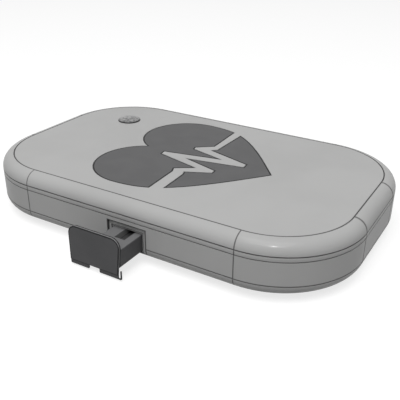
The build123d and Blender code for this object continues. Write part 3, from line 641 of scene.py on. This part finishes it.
sleeves = {
    "capacitor_sleeve": ((0.035, 0.045, 0.120), "shock_capacitor_1", 0.0, 0.0038),
    "cell_sleeve": ((0.130, 0.135, 0.150), "battery_cells", 0.0013, 0.0013),
}

sleeveLook = {
    "bare": (0.62, 0.62, 0.61),
    "specular": 0.5,
    "coat": 0.4,
    "coatRoughness": 0.15,
    "rippleScale": 160.0,
    "rippleDepth": 0.00010,
    "spread": 0.2,
    "roughness": (0.32, 0.16),
}


def shrinkSleeve(name):
    # Thin plastic sleeve drawn tight over a can, whose ends or contacts stay bare
    colour, node, bareFront, bareBack = sleeves[name]
    look = sleeveLook
    low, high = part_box(node)
    material, shader, start, place = newFinish(name, {
        "Specular IOR Level": look["specular"],
        "Coat Weight": look["coat"], "Coat Roughness": look["coatRoughness"]})
    y = place.split()[1]
    bare = y.below(low.y + bareFront).over(y.above(high.y - bareBack))
    ripple = place.noise(look["rippleScale"])
    sleeve = tint(start, ripple.full(), *shades(colour, look["spread"]))
    drive(start, shader,
          Base_Color=tint(start, bare, sleeve, look["bare"]),
          Metallic=bare,
          Roughness=ripple.around(*look["roughness"]),
          Normal=bump(start, ripple * look["rippleDepth"]))
    return material


# Cone of the speaker

paperLook = {
    "dark": (0.035, 0.034, 0.033),
    "light": (0.100, 0.098, 0.095),
    "specular": 0.3,
    "fibreScale": 2400.0,
    "fibreDetail": 4.0,
    "fibreRoughness": 0.7,
    "fibreDepth": 0.00005,
    "roughness": (0.80, 0.20),
}


def dopedPaper(name):
    look = paperLook
    material, shader, start, place = newFinish(name, {"Specular IOR Level": look["specular"]})
    fibres = place.noise(look["fibreScale"], look["fibreDetail"], look["fibreRoughness"])
    drive(start, shader,
          Base_Color=tint(start, fibres, look["dark"], look["light"]),
          Roughness=fibres.around(*look["roughness"]),
          Normal=bump(start, fibres * look["fibreDepth"]))
    return material


finishMakers = {
    "shell_grey": shellPlastic, "band_grey": shellPlastic, "panel_grey": panelPlastic,
    "button_grey": clouded, "plug_dark": plugPlastic, "clear_silicone": milkySilicone,
    "lamp_lens": lampLens, "board_green": solderResist, "ferrite": ferrite,
    "winding_tape": windingTape, "speaker_paper": dopedPaper,
}
finishMakers.update({name: moulding for name in mouldings})
finishMakers.update({name: metal for name in metals})
finishMakers.update({name: shrinkSleeve for name in sleeves})

finishes = {m["slot"]: finishMakers[m["slot"]](m["slot"]) for m in frame["record"]["materials"]}
nodeSlot = {s["node"]: s["material_slot"] for s in frame["record"]["subparts"]}
for name, node in nodes.items():
    node.data.materials.clear()
    node.data.materials.append(finishes[nodeSlot[name]])
print("finishes made:", len(finishes))


# Tools for pieces

meshRules = {
    "joinDistance": 1e-6,    # corners nearer than this are one
    "flatAngle": 0.4,        # faces that differ by fewer degrees are joined
    "facing": 0.99,          # how squarely a face looks to a border's side
    "sharpAngle": 50,        # degrees, past which an edge of a grown piece stays sharp
}
quarterTurn = [n * pi / 8 for n in range(5)]   # the steps of a small rounded edge


def newObject(name, mesh):
    piece = bpy.data.objects.new(name, mesh)
    bpy.context.scene.collection.objects.link(piece)
    return piece


def settle(piece):
    # Applies what is left on a piece and keeps the result as a plain mesh
    graph = bpy.context.evaluated_depsgraph_get()
    mesh = bpy.data.meshes.new_from_object(piece.evaluated_get(graph), depsgraph=graph)
    piece.modifiers.clear()
    piece.data = mesh


def standFor(piece, body, slot, *replaced):
    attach(piece, body)
    if replaced:
        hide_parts(*replaced)


def mergedMesh(node):
    # A copy of a node's mesh with its loose triangles joined
    solid = bmesh.new()
    solid.from_mesh(nodes[node].data)
    bmesh.ops.remove_doubles(solid, verts=solid.verts, dist=meshRules["joinDistance"])
    return solid


def solidBoxes(node):
    # Lowest and highest corner of each separate solid in a node
    solid = mergedMesh(node)
    boxes, seen = [], set()
    for first in solid.verts:
        if first in seen:
            continue
        group, waiting = [], [first]
        seen.add(first)
        while waiting:
            vert = waiting.pop()
            group.append(vert.co)
            for edge in vert.link_edges:
                other = edge.other_vert(vert)
                if other not in seen:
                    seen.add(other)
                    waiting.append(other)
        boxes.append(tuple(
            Vector([pick(co[n] for co in group) for n in range(3)]) for pick in (min, max)))
    solid.free()
    return boxes


def insetBorder(solid, width, side):
    # Lets a border into the faces that look to one side and gives it the second material
    shown = [face for face in solid.faces if face.normal.dot(Vector(side)) > meshRules["facing"]]
    ring = bmesh.ops.inset_region(solid, faces=shown, thickness=width, use_even_offset=True)
    for face in ring["faces"]:
        face.material_index = 1


def plainForm(node, look):
    # A node's form with few faces, and a border where the look has one
    solid = mergedMesh(node)
    bmesh.ops.dissolve_limit(
        solid, angle_limit=radians(meshRules["flatAngle"]), verts=solid.verts, edges=solid.edges)
    if "border" in look:
        insetBorder(solid, *look["border"])
    solid.verts.index_update()
    mesh = bpy.data.meshes.new(look["name"])
    mesh.from_pydata(
        [vert.co[:] for vert in solid.verts], [],
        [[vert.index for vert in face.verts] for face in solid.faces])
    mesh.polygons.foreach_set("material_index", [face.material_index for face in solid.faces])
    solid.free()
    mesh.shade_smooth()
    return mesh


def softCopy(node, look, body, slot):
    # A node's form with its sharp edges rounded. The rounding and a border are marked as edge.
    mesh = plainForm(node, look)
    for _ in ("faces", "edges"):
        mesh.materials.append(finishes[slot])
    piece = newObject(look["name"], mesh)
    bevel = piece.modifiers.new("bevel", "BEVEL")
    bevel.width = look["round"]
    bevel.segments = look["steps"]
    bevel.limit_method = "ANGLE"
    bevel.angle_limit = radians(look["angle"])
    bevel.harden_normals = True
    bevel.material = 1       # what it makes takes the second material, which then becomes the mark
    settle(piece)
    mesh = piece.data
    marks = mesh.attributes.new("edge", "FLOAT", "FACE")
    for face in mesh.polygons:
        marks.data[face.index].value = look["edgeDark"] * face.material_index
        face.material_index = 0
    mesh.materials.pop(index=1)
    standFor(piece, body, slot, node)
    return piece


# Softened mouldings of the plug, the heart, the battery cap and the return dome

softLooks = {
    "plug_grip": {"name": "grip_plate", "round": 0.00030, "steps": 3, "angle": 40, "edgeDark": 1.0},
    "plug_block": {"name": "plug_body", "round": 0.00026, "steps": 2, "angle": 40, "edgeDark": 0.6},
    "heart_inlay_left": {
        "name": "heart_left", "round": 0.00040, "steps": 2, "angle": 60, "edgeDark": 1.0,
        "border": (0.00095, (0, 0, 1))},
    "heart_inlay_right": {
        "name": "heart_right", "round": 0.00040, "steps": 2, "angle": 60, "edgeDark": 1.0,
        "border": (0.00095, (0, 0, 1))},
    "battery_cap": {"name": "battery_end_cap", "round": 0.00025, "steps": 3, "angle": 40, "edgeDark": 0.0},
    "button_return": {"name": "return_dome", "round": 0.00012, "steps": 2, "angle": 30, "edgeDark": 0.0},
}
bodyOf = {name: body for body, names in frame["record"]["behaviour"]["bodies"].items() for name in names}
softPieces = {
    name: softCopy(name, look, bodyOf[name], nodeSlot[name]) for name, look in softLooks.items()}

# The return dome gets a mesh of its own; the pressed share is worked out and passed along, but nothing folds it
domeLow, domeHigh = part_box("button_return")
pressed = next(joint["range_m"][1] for joint in frame["joints"] if joint["name"] == "button_press")
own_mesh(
    softPieces["button_return"], "button_press", axis=(0, 0, 1), anchor=domeLow,
    keep=1 - pressed / (domeHigh.z - domeLow.z))
print("softened mouldings made:", len(softLooks))


# Geometry trees

def newTree(name, inputs):
    # A geometry tree with named inputs, which come back as signals
    tree = bpy.data.node_groups.new(name, "GeometryNodeTree")
    for label, kind in [("Geometry", "Geometry"), *inputs.items()]:
        tree.interface.new_socket(label, in_out="INPUT", socket_type="NodeSocket" + kind)
    tree.interface.new_socket("Geometry", in_out="OUTPUT", socket_type="NodeSocketGeometry")
    taken = tree.nodes.new("NodeGroupInput").outputs
    return tree, {label: Signal(tree, taken[label]) for label in ["Geometry", *inputs]}


def endTree(tree, shape, finish):
    # Real mesh in place of instances, with its finish
    real = shape.make("GeometryNodeRealizeInstances", {}, {"Geometry": shape})
    dressed = real.make("GeometryNodeSetMaterial", {}, {"Geometry": real, "Material": finish})
    tree.links.new(dressed.socket, tree.nodes.new("NodeGroupOutput").inputs["Geometry"])
    return tree


def sweepTree():
    # A closed profile carried once round a rounded rectangle
    tree, given = newTree("sweepRound", {
        "Length": "Float", "Width": "Float", "Corner Radius": "Float", "Corner Steps": "Int",
        "Profile": "Object", "Finish": "Material"})
    start = given["Geometry"]
    corners = start.make("GeometryNodeCurvePrimitiveQuadrilateral", {"mode": "RECTANGLE"}, {
        "Width": given["Length"], "Height": given["Width"]})
    path = start.make("GeometryNodeFilletCurve", {"mode": "POLY"}, {
        "Curve": corners, "Radius": given["Corner Radius"], "Count": given["Corner Steps"]})
    drawn = start.make("GeometryNodeObjectInfo", {}, {"Object": given["Profile"]}, "Geometry")
    profile = start.make("GeometryNodeMeshToCurve", {}, {"Mesh": drawn})
    swept = start.make("GeometryNodeCurveToMesh", {}, {"Curve": path, "Profile Curve": profile})
    return endTree(tree, swept, given["Finish"])


def scatterTree():
    # One shape at each point, turned as the point says and a little by chance about its own axis
    tree, given = newTree("scatterTurned", {
        "Shape": "Object", "Play": "Float", "Seed": "Int", "Finish": "Material"})
    start = given["Geometry"]
    shape = start.make("GeometryNodeObjectInfo", {}, {"Object": given["Shape"]}, "Geometry")
    stored = start.make("GeometryNodeInputNamedAttribute", {"data_type": "FLOAT_VECTOR"}, {"Name": "turn"})
    chance = start.make("FunctionNodeRandomValue", {"data_type": "FLOAT"}, {
        2: -1.0, 3: 1.0, "Seed": given["Seed"]}, 1)
    spin = start.make("ShaderNodeCombineXYZ", {}, {2: chance * given["Play"]})
    turn = start.make("FunctionNodeRotateRotation", {"rotation_space": "LOCAL"}, {
        0: start.make("FunctionNodeEulerToRotation", {}, {0: stored}),
        1: start.make("FunctionNodeEulerToRotation", {}, {0: spin})})
    placed = start.make("GeometryNodeInstanceOnPoints", {}, {
        "Points": start, "Instance": shape, "Rotation": turn})
    return endTree(tree, placed, given["Finish"])


def grow(tree, mesh, values):
    # Runs a tree on a start mesh and keeps what comes out as a plain mesh
    piece = newObject("grown", mesh)
    modifier = piece.modifiers.new("grow", "NODES")
    modifier.node_group = tree
    for socket in tree.interface.items_tree:
        if socket.in_out == "INPUT" and socket.name in values:
            modifier[socket.identifier] = values[socket.name]
    settle(piece)
    piece.data.shade_smooth()
    piece.data.set_sharp_from_angle(angle=radians(meshRules["sharpAngle"]))
    return piece


sweep = sweepTree()
scatter = scatterTree()


# Band and sealing cord, swept round the case

bandLook = {
    "depth": 0.0022,
    "rebateDepth": 0.00035,
    "rebateHeight": 0.00025,
    "edgeRound": 0.00015,
    "edgeSteps": 3,
    "cornerSteps": 28,
}
gasketLook = {
    "radius": 0.0004,
    "steps": 10,
}


def bandProfile(look):
    # Across and up, from the inner lower corner; the outer face has rounded edges and rebates
    low, high = bandLow.z, bandHigh.z
    inner, rebate, r = -look["depth"], -look["rebateDepth"], look["edgeRound"]
    faceLow, faceHigh = low + look["rebateHeight"], high - look["rebateHeight"]
    points = [(inner, low), (rebate, low), (rebate, faceLow)]
    for centreUp, first in ((faceLow + r, -pi / 2), (faceHigh - r, 0.0)):
        for n in range(look["edgeSteps"] + 1):
            angle = first + n * pi / 2 / look["edgeSteps"]
            points.append((-r + r * cos(angle), centreUp + r * sin(angle)))
    return points + [(rebate, faceHigh), (rebate, high), (inner, high)]


def roundProfile(centreUp, radius, steps):
    return [(radius * cos(tau * n / steps), centreUp + radius * sin(tau * n / steps)) for n in range(steps)]


def sweptPiece(name, points, inset, node):
    # Curve to Mesh lays a profile's second axis downwards, so its heights are written negative,
    # and its points run the other way round, to face outwards
    drawn = bpy.data.meshes.new("profile")
    drawn.from_pydata(
        [(across, -up, 0) for across, up in reversed(points)],
        [(n, (n + 1) % len(points)) for n in range(len(points))], [])
    profile = newObject("profile", drawn)
    slot = nodeSlot[node]
    piece = grow(sweep, bpy.data.meshes.new("start"), {
        "Length": 2 * (caseShape["halfLength"] - inset), "Width": 2 * (caseShape["halfWidth"] - inset),
        "Corner Radius": caseShape["cornerRadius"] - inset, "Corner Steps": bandLook["cornerSteps"],
        "Profile": profile, "Finish": finishes[slot]})
    bpy.data.objects.remove(profile)
    piece.name = name
    standFor(piece, bodyOf[node], slot, node)


gasketLow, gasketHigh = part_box("seam_gasket")
cordLine = roundProfile((gasketLow.z + gasketHigh.z) / 2, gasketLook["radius"], gasketLook["steps"])
cordInset = caseShape["halfLength"] - gasketHigh.x + gasketLook["radius"]
sweptPiece("band", bandProfile(bandLook), 0.0, "seam_band")
sweptPiece("sealing_cord", cordLine, cordInset, "seam_gasket")
print("band and sealing cord swept")


# Forms of rings on one axis, for screws, feet and cells

def ringMesh(rings, steps):
    # Each ring is (height, radius); the radius is a number or a function of angle and height
    count = len(rings) * steps
    points = [
        (radius(angle, z) if callable(radius) else radius, angle, z)
        for z, radius in rings for angle in (tau * n / steps for n in range(steps))]
    verts = [(r * cos(angle), r * sin(angle), z) for r, angle, z in points]
    verts += [(0, 0, rings[0][0]), (0, 0, rings[-1][0])]
    faces = []
    for n in range(steps):
        after = (n + 1) % steps
        faces.append((count, after, n))
        for low in range(0, count - steps, steps):
            faces.append((low + n, low + after, low + steps + after, low + steps + n))
        faces.append((count - steps + n, count - steps + after, count + 1))
    mesh = bpy.data.meshes.new("rings")
    mesh.from_pydata(verts, [], faces)
    return mesh


def scatteredPiece(name, kinds, play, *replaced):
    # Each kind is a shape and its stands, as places and turns. All of them become one mesh.
    slot, body = nodeSlot[replaced[0]], bodyOf[replaced[0]]
    joined = bmesh.new()
    for seed, (shape, stands) in enumerate(kinds):
        points = bpy.data.meshes.new("points")
        points.from_pydata([place for place, turn in stands], [], [])
        turns = points.attributes.new("turn", "FLOAT_VECTOR", "POINT")
        for n, (place, turn) in enumerate(stands):
            turns.data[n].vector = turn
        model = newObject("model", shape)
        grown = grow(scatter, points, {
            "Shape": model, "Play": play, "Seed": seed, "Finish": finishes[slot]})
        joined.from_mesh(grown.data)
        bpy.data.objects.remove(model)
        bpy.data.objects.remove(grown)
    mesh = bpy.data.meshes.new(name)
    joined.to_mesh(mesh)
    joined.free()
    mesh.materials.append(finishes[slot])
    standFor(newObject(name, mesh), body, slot, *replaced)


# Screws

def hexagon(flat):
    # Radius of a six-sided recess, by its half width across the flats
    return lambda angle, z: flat / cos((angle + pi / 6) % (pi / 3) - pi / 6)


def slotted(halfLength, halfWidth):
    # Radius of a straight slot; the tiny number keeps its axes off a division by zero
    return lambda angle, z: min(
        halfLength / max(abs(cos(angle)), 1e-6), halfWidth / max(abs(sin(angle)), 1e-6))


def threaded(crest, depth, pitch):
    # Radius of a thread, which falls and rises once in each pitch
    def radius(angle, z):
        turn = (z / pitch - angle / tau) % 1.0
        return crest - depth * min(1.0, abs(4 * turn - 2))
    return radius


screwForm = {
    "steps": 36,             # points round each ring
    "ringsPerTurn": 6,
    "tipShare": 0.55,        # radius of the tip, as a share of the shank's
    "neckShare": 0.97,       # and of the plain neck under the head
    "leastNeck": 0.0004,
    "runOut": 0.0002,        # where the thread ends in the neck
}
screwLooks = {
    "case": {
        "head": 0.0028, "headHeight": 0.0024, "headRound": 0.0006, "shank": 0.0015,
        "threadDepth": 0.0003, "pitch": 0.0011, "threaded": 0.013, "tip": 0.0008,
        "recess": hexagon(0.00104), "recessDepth": 0.0014},
    "small": {
        "head": 0.0021, "headHeight": 0.0015, "headRound": 0.0005, "shank": 0.0011,
        "threadDepth": 0.00022, "pitch": 0.0007, "threaded": 0.009, "tip": 0.0005,
        "recess": slotted(0.0017, 0.0003), "recessDepth": 0.0006},
}


def screwMesh(look, length):
    # From the tip up: thread, plain neck, head with a rounded edge, recess. The seat is at 0.
    top, r = look["headHeight"], look["headRound"]
    thread = threaded(look["shank"], look["threadDepth"], look["pitch"])
    neck = look["shank"] * screwForm["neckShare"]
    threadTop = -max(length - look["threaded"], screwForm["leastNeck"])
    low = -length + min(look["tip"], length / 4)
    turns = max(2, round((threadTop - low) / look["pitch"] * screwForm["ringsPerTurn"]))
    rings = [(-length, look["shank"] * screwForm["tipShare"])]
    rings += [(low + (threadTop - low) * n / turns, thread) for n in range(turns + 1)]
    rings += [(threadTop + screwForm["runOut"], neck), (0.0, neck), (0.0, look["head"])]
    rings += [(top - r + r * sin(a), look["head"] - r + r * cos(a)) for a in quarterTurn]
    rings += [(top, look["recess"]), (top - look["recessDepth"], look["recess"])]
    return ringMesh(rings, screwForm["steps"])


# Turns of a screw by the axis that it lies on and the side that its head faces
headTurns = {(2, 1): (0, 0, 0), (2, -1): (pi, 0, 0), (1, 1): (-pi / 2, 0, 0)}


def screwStands(node, look, axis, side):
    # Stands of a node's screws, gathered by shank length
    found = {}
    for low, high in solidBoxes(node):
        place = (low + high) / 2
        end = high[axis] if side > 0 else low[axis]
        place[axis] = end - side * look["headHeight"]
        length = round(high[axis] - low[axis] - look["headHeight"], 5)
        found.setdefault(length, []).append((place, headTurns[axis, side]))
    return [(screwMesh(look, length), stands) for length, stands in sorted(found.items())]


screwSets = [
    ("case_screw_set", "case_screws", "case", 2, -1),
    ("board_screw_set", "board_screws", "small", 2, 1),
    ("socket_screw_set", "socket_screws", "small", 2, 1),
    ("cap_screw_set", "cap_screws", "small", 1, 1),
]
for name, node, kind, axis, side in screwSets:
    scatteredPiece(name, screwStands(node, screwLooks[kind], axis, side), pi, node)


# Rubber feet

footLook = {
    "round": 0.0009,         # radius at the lower edge
    "flutes": 36,
    "fluteDepth": 0.00018,
    "fluteEnd": -0.0003,     # just under the case, which is at height 0
    "collar": -0.0001,
    "grooves": 3,            # rings let into the underside
    "grooveDepth": 0.0005,
    "grooveWidth": 0.0007,
    "grooveTaper": 0.6,      # width of a groove's bottom, as a share of its mouth
    "steps": 144,
}


def footMesh(look, radius, low, high):
    # Underside with ring grooves, rounded edge, fluted side, plain top in its pocket
    def fluted(angle, z):
        return radius - look["fluteDepth"] * (0.5 - 0.5 * cos(look["flutes"] * angle))

    r, half, plain = look["round"], look["grooveWidth"] / 2, radius - look["fluteDepth"]
    bottom, halfBottom = low + look["grooveDepth"], half * look["grooveTaper"]
    rings = []
    for n in range(look["grooves"]):
        centre = (radius - r) * (n + 0.5) / look["grooves"]
        rings += [
            (low, centre - half), (bottom, centre - halfBottom),
            (bottom, centre + halfBottom), (low, centre + half)]
    rings += [(low + r - r * cos(a), plain - r + r * sin(a)) for a in quarterTurn[:-1]]
    rings += [(low + r, fluted), (look["fluteEnd"], fluted), (look["collar"], plain), (high, plain)]
    return ringMesh(rings, look["steps"])


def footStand(name):
    low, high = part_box(name)
    middle = (low + high) / 2
    return (middle.x, middle.y, 0.0), (0.0, 0.0, 0.0)


footNodes = [name for name in nodes if name.startswith("foot_")]
footLow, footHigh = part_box(footNodes[0])
footShape = footMesh(footLook, (footHigh.x - footLow.x) / 2, footLow.z, footHigh.z)
scatteredPiece("rubber_feet", [(footShape, [footStand(name) for name in footNodes])], pi, *footNodes)
print("screws and feet set")


# Cells of the battery, each a sleeved can, every second one turned end for end

cellLook = {
    "nubHeight": 0.0012,
    "nubRadius": 0.0027,
    "round": 0.0006,         # radius at both ends of the can
    "fold": 0.0022,          # how far the sleeve folds over the ends
    "sink": 0.0002,          # how deep the ends lie under that fold
    "beadAt": 0.0034,        # groove rolled round the can, from its contact's end
    "beadWidth": 0.0012,
    "beadDepth": 0.00028,
    "steps": 56,
}


def cellMesh(look, radius, length):
    # From the flat end up, with the flat end at 0
    top, r, inner = length - look["nubHeight"], look["round"], radius - look["fold"]
    bead, halfBead = top - look["beadAt"], look["beadWidth"] / 2
    rings = [(look["sink"], inner), (0.0, inner)]
    rings += [(r - r * cos(a), radius - r + r * sin(a)) for a in quarterTurn]
    rings += [(bead - halfBead, radius), (bead, radius - look["beadDepth"]), (bead + halfBead, radius)]
    rings += [(top - r + r * sin(a), radius - r + r * cos(a)) for a in quarterTurn]
    rings += [(top, inner), (top - look["sink"], inner), (top - look["sink"], look["nubRadius"])]
    rings += [(length - r / 2, look["nubRadius"]), (length, look["nubRadius"] - r / 2)]
    return ringMesh(rings, look["steps"])


cellBoxes = sorted(solidBoxes("battery_cells"), key=lambda box: box[0].x)
cellSize = cellBoxes[-1][1] - cellBoxes[-1][0]
cellStands = []
for n, (low, high) in enumerate(cellBoxes):
    place, side = (low + high) / 2, (-1) ** n
    place.y = low.y if side > 0 else high.y
    cellStands.append((place, (-side * pi / 2, 0, 0)))
cellShape = cellMesh(cellLook, cellSize.x / 2, cellSize.y)
scatteredPiece("cell_set", [(cellShape, cellStands)], pi, "battery_cells")
print("cells set:", len(cellStands))


# Lip round the plug's block, in the mouth of the tunnel

lipLook = {
    "gap": 0.00025,          # room round the block
    "front": 0.0005,         # behind the recess's floor
    "back": 0.0009,
    "recessDepth": 0.0012,   # of the recess in the case's wall
    "round": 0.00010,
    "steps": 2,
}


def frameRing(margins, low, high, y):
    # The four corners of a rectangle round the block, at one depth
    left, right, below, above = margins
    return [(x, y, z) for x, z in (
        (low.x - left, low.z - below), (high.x + right, low.z - below),
        (high.x + right, high.z + above), (low.x - left, high.z + above))]


def makeLip(look):
    low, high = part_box("plug_block")
    floorY = -caseShape["halfWidth"] + look["recessDepth"]
    rings = [
        frameRing(margins, low, high, floorY + look[side])
        for margins, side in (
            (tunnelMargins, "front"), ([look["gap"]] * 4, "front"),
            ([look["gap"]] * 4, "back"), (tunnelMargins, "back"))]
    verts = [corner for ring in rings for corner in ring]
    faces = []
    for ring in range(4):
        for n in range(4):
            here, after = ring * 4, (ring + 1) % 4 * 4
            faces.append((here + n, here + (n + 1) % 4, after + (n + 1) % 4, after + n))
    mesh = bpy.data.meshes.new("socket_lip")
    mesh.from_pydata(verts, [], faces)
    mesh.shade_smooth()
    mesh.materials.append(finishes["shell_grey"])
    piece = newObject("socket_lip", mesh)
    bevel = piece.modifiers.new("bevel", "BEVEL")
    bevel.width = look["round"]
    bevel.segments = look["steps"]
    bevel.harden_normals = True
    settle(piece)
    standFor(piece, "case", "shell_grey")


makeLip(lipLook)
print("socket lip made")


# Camera

cameraView = {
    "place": (0.1830, -0.2996, 0.1763),
    "azimuth": 30.66,
    "elevation": 26.59,
    "roll": 0.56,
    "lens": 54.02,
    "sensor": 36.0,
    "near": 0.01,
    "far": 50.0,
}


def makeCamera(view):
    a, e = radians(view["azimuth"]), radians(view["elevation"])
    away = Vector((sin(a) * cos(e), -cos(a) * cos(e), sin(e)))
    data = bpy.data.cameras.new("photoCamera")
    data.lens = view["lens"]
    data.sensor_width = view["sensor"]
    data.clip_start = view["near"]
    data.clip_end = view["far"]
    camera = newObject("photoCamera", data)
    turn = away.to_track_quat("Z", "Y").to_matrix().to_4x4()
    camera.matrix_world = (
        Matrix.Translation(view["place"]) @ turn @ Matrix.Rotation(radians(view["roll"]), 4, "Z"))
    bpy.context.scene.camera = camera


makeCamera(cameraView)
print("camera placed")


# Floor, world and lamps

studio = {
    "floorSize": 24.0,
    "floorBounce": 0.30,     # how much light the floor gives back to the object
    "floorShadow": 0.34,     # how much of the floor's own shading the camera sees
    "floorGlow": 0.75,
    "skyLevel": 0.28,
}

# The small lamp shows as a glint in glossy surfaces and gives matt ones no light
lamps = {
    "keyLamp": {
        "direction": (0.11, -0.38, 0.91), "distance": 1.5, "size": 1.1, "power": 18.5, "lightsMatt": True},
    "glintLamp": {
        "direction": (0.28, -0.59, 0.757), "distance": 1.5, "size": 0.03, "power": 6.2, "lightsMatt": False},
}


def seenDirectly(start):
    # 1 for rays from the camera, and in what metal and glass mirror
    rays = start.tree.nodes.new("ShaderNodeLightPath")
    camera, glossy, through = (
        Signal(start.tree, rays.outputs[name])
        for name in ("Is Camera Ray", "Is Glossy Ray", "Is Transmission Ray"))
    return camera.over(glossy).over(through)


def makeFloor(look):
    half = look["floorSize"] / 2
    mesh = bpy.data.meshes.new("floor")
    corners = [(-half, -half, floorZ), (half, -half, floorZ), (half, half, floorZ), (-half, half, floorZ)]
    mesh.from_pydata(corners, [], [(0, 1, 2, 3)])
    floor = newObject("floor", mesh)
    material = bpy.data.materials.new("floorPaper")
    material.use_nodes = True
    tree = material.node_tree
    tree.nodes.remove(tree.nodes["Principled BSDF"])
    start = Signal(tree)
    bounce, shadow = look["floorBounce"], look["floorShadow"]
    matt = start.make("ShaderNodeBsdfDiffuse", {}, {"Color": (bounce, bounce, bounce, 1)})
    shaded = start.make("ShaderNodeBsdfDiffuse", {}, {"Color": (shadow, shadow, shadow, 1)})
    glow = start.make("ShaderNodeEmission", {}, {"Color": (1, 1, 1, 1), "Strength": look["floorGlow"]})
    white = start.make("ShaderNodeAddShader", {}, {0: shaded, 1: glow})
    mixed = start.make("ShaderNodeMixShader", {}, {0: seenDirectly(start), 1: matt, 2: white})
    tree.links.new(mixed.socket, tree.nodes["Material Output"].inputs["Surface"])
    mesh.materials.append(material)


def makeWorld(look):
    world = bpy.data.worlds.new("studio")
    world.use_nodes = True
    tree = world.node_tree
    start = Signal(tree)
    level = seenDirectly(start) * (1 - look["skyLevel"]) + look["skyLevel"]
    background = tree.nodes["Background"]
    background.inputs["Color"].default_value = (1, 1, 1, 1)
    tree.links.new(level.socket, background.inputs["Strength"])
    bpy.context.scene.world = world


def makeLamp(name, look):
    # An area lamp that faces the middle of the case's underside
    data = bpy.data.lights.new(name, "AREA")
    data.size = look["size"]
    data.energy = look["power"]
    lamp = newObject(name, data)
    lamp.visible_diffuse = look["lightsMatt"]
    away = Vector(look["direction"]).normalized()
    lamp.location = away * look["distance"]
    lamp.rotation_mode = "QUATERNION"
    lamp.rotation_quaternion = away.to_track_quat("Z", "Y")


makeFloor(studio)
makeWorld(studio)
for name, look in lamps.items():
    makeLamp(name, look)
bpy.context.scene.view_settings.view_transform = "Standard"
print("studio lit")
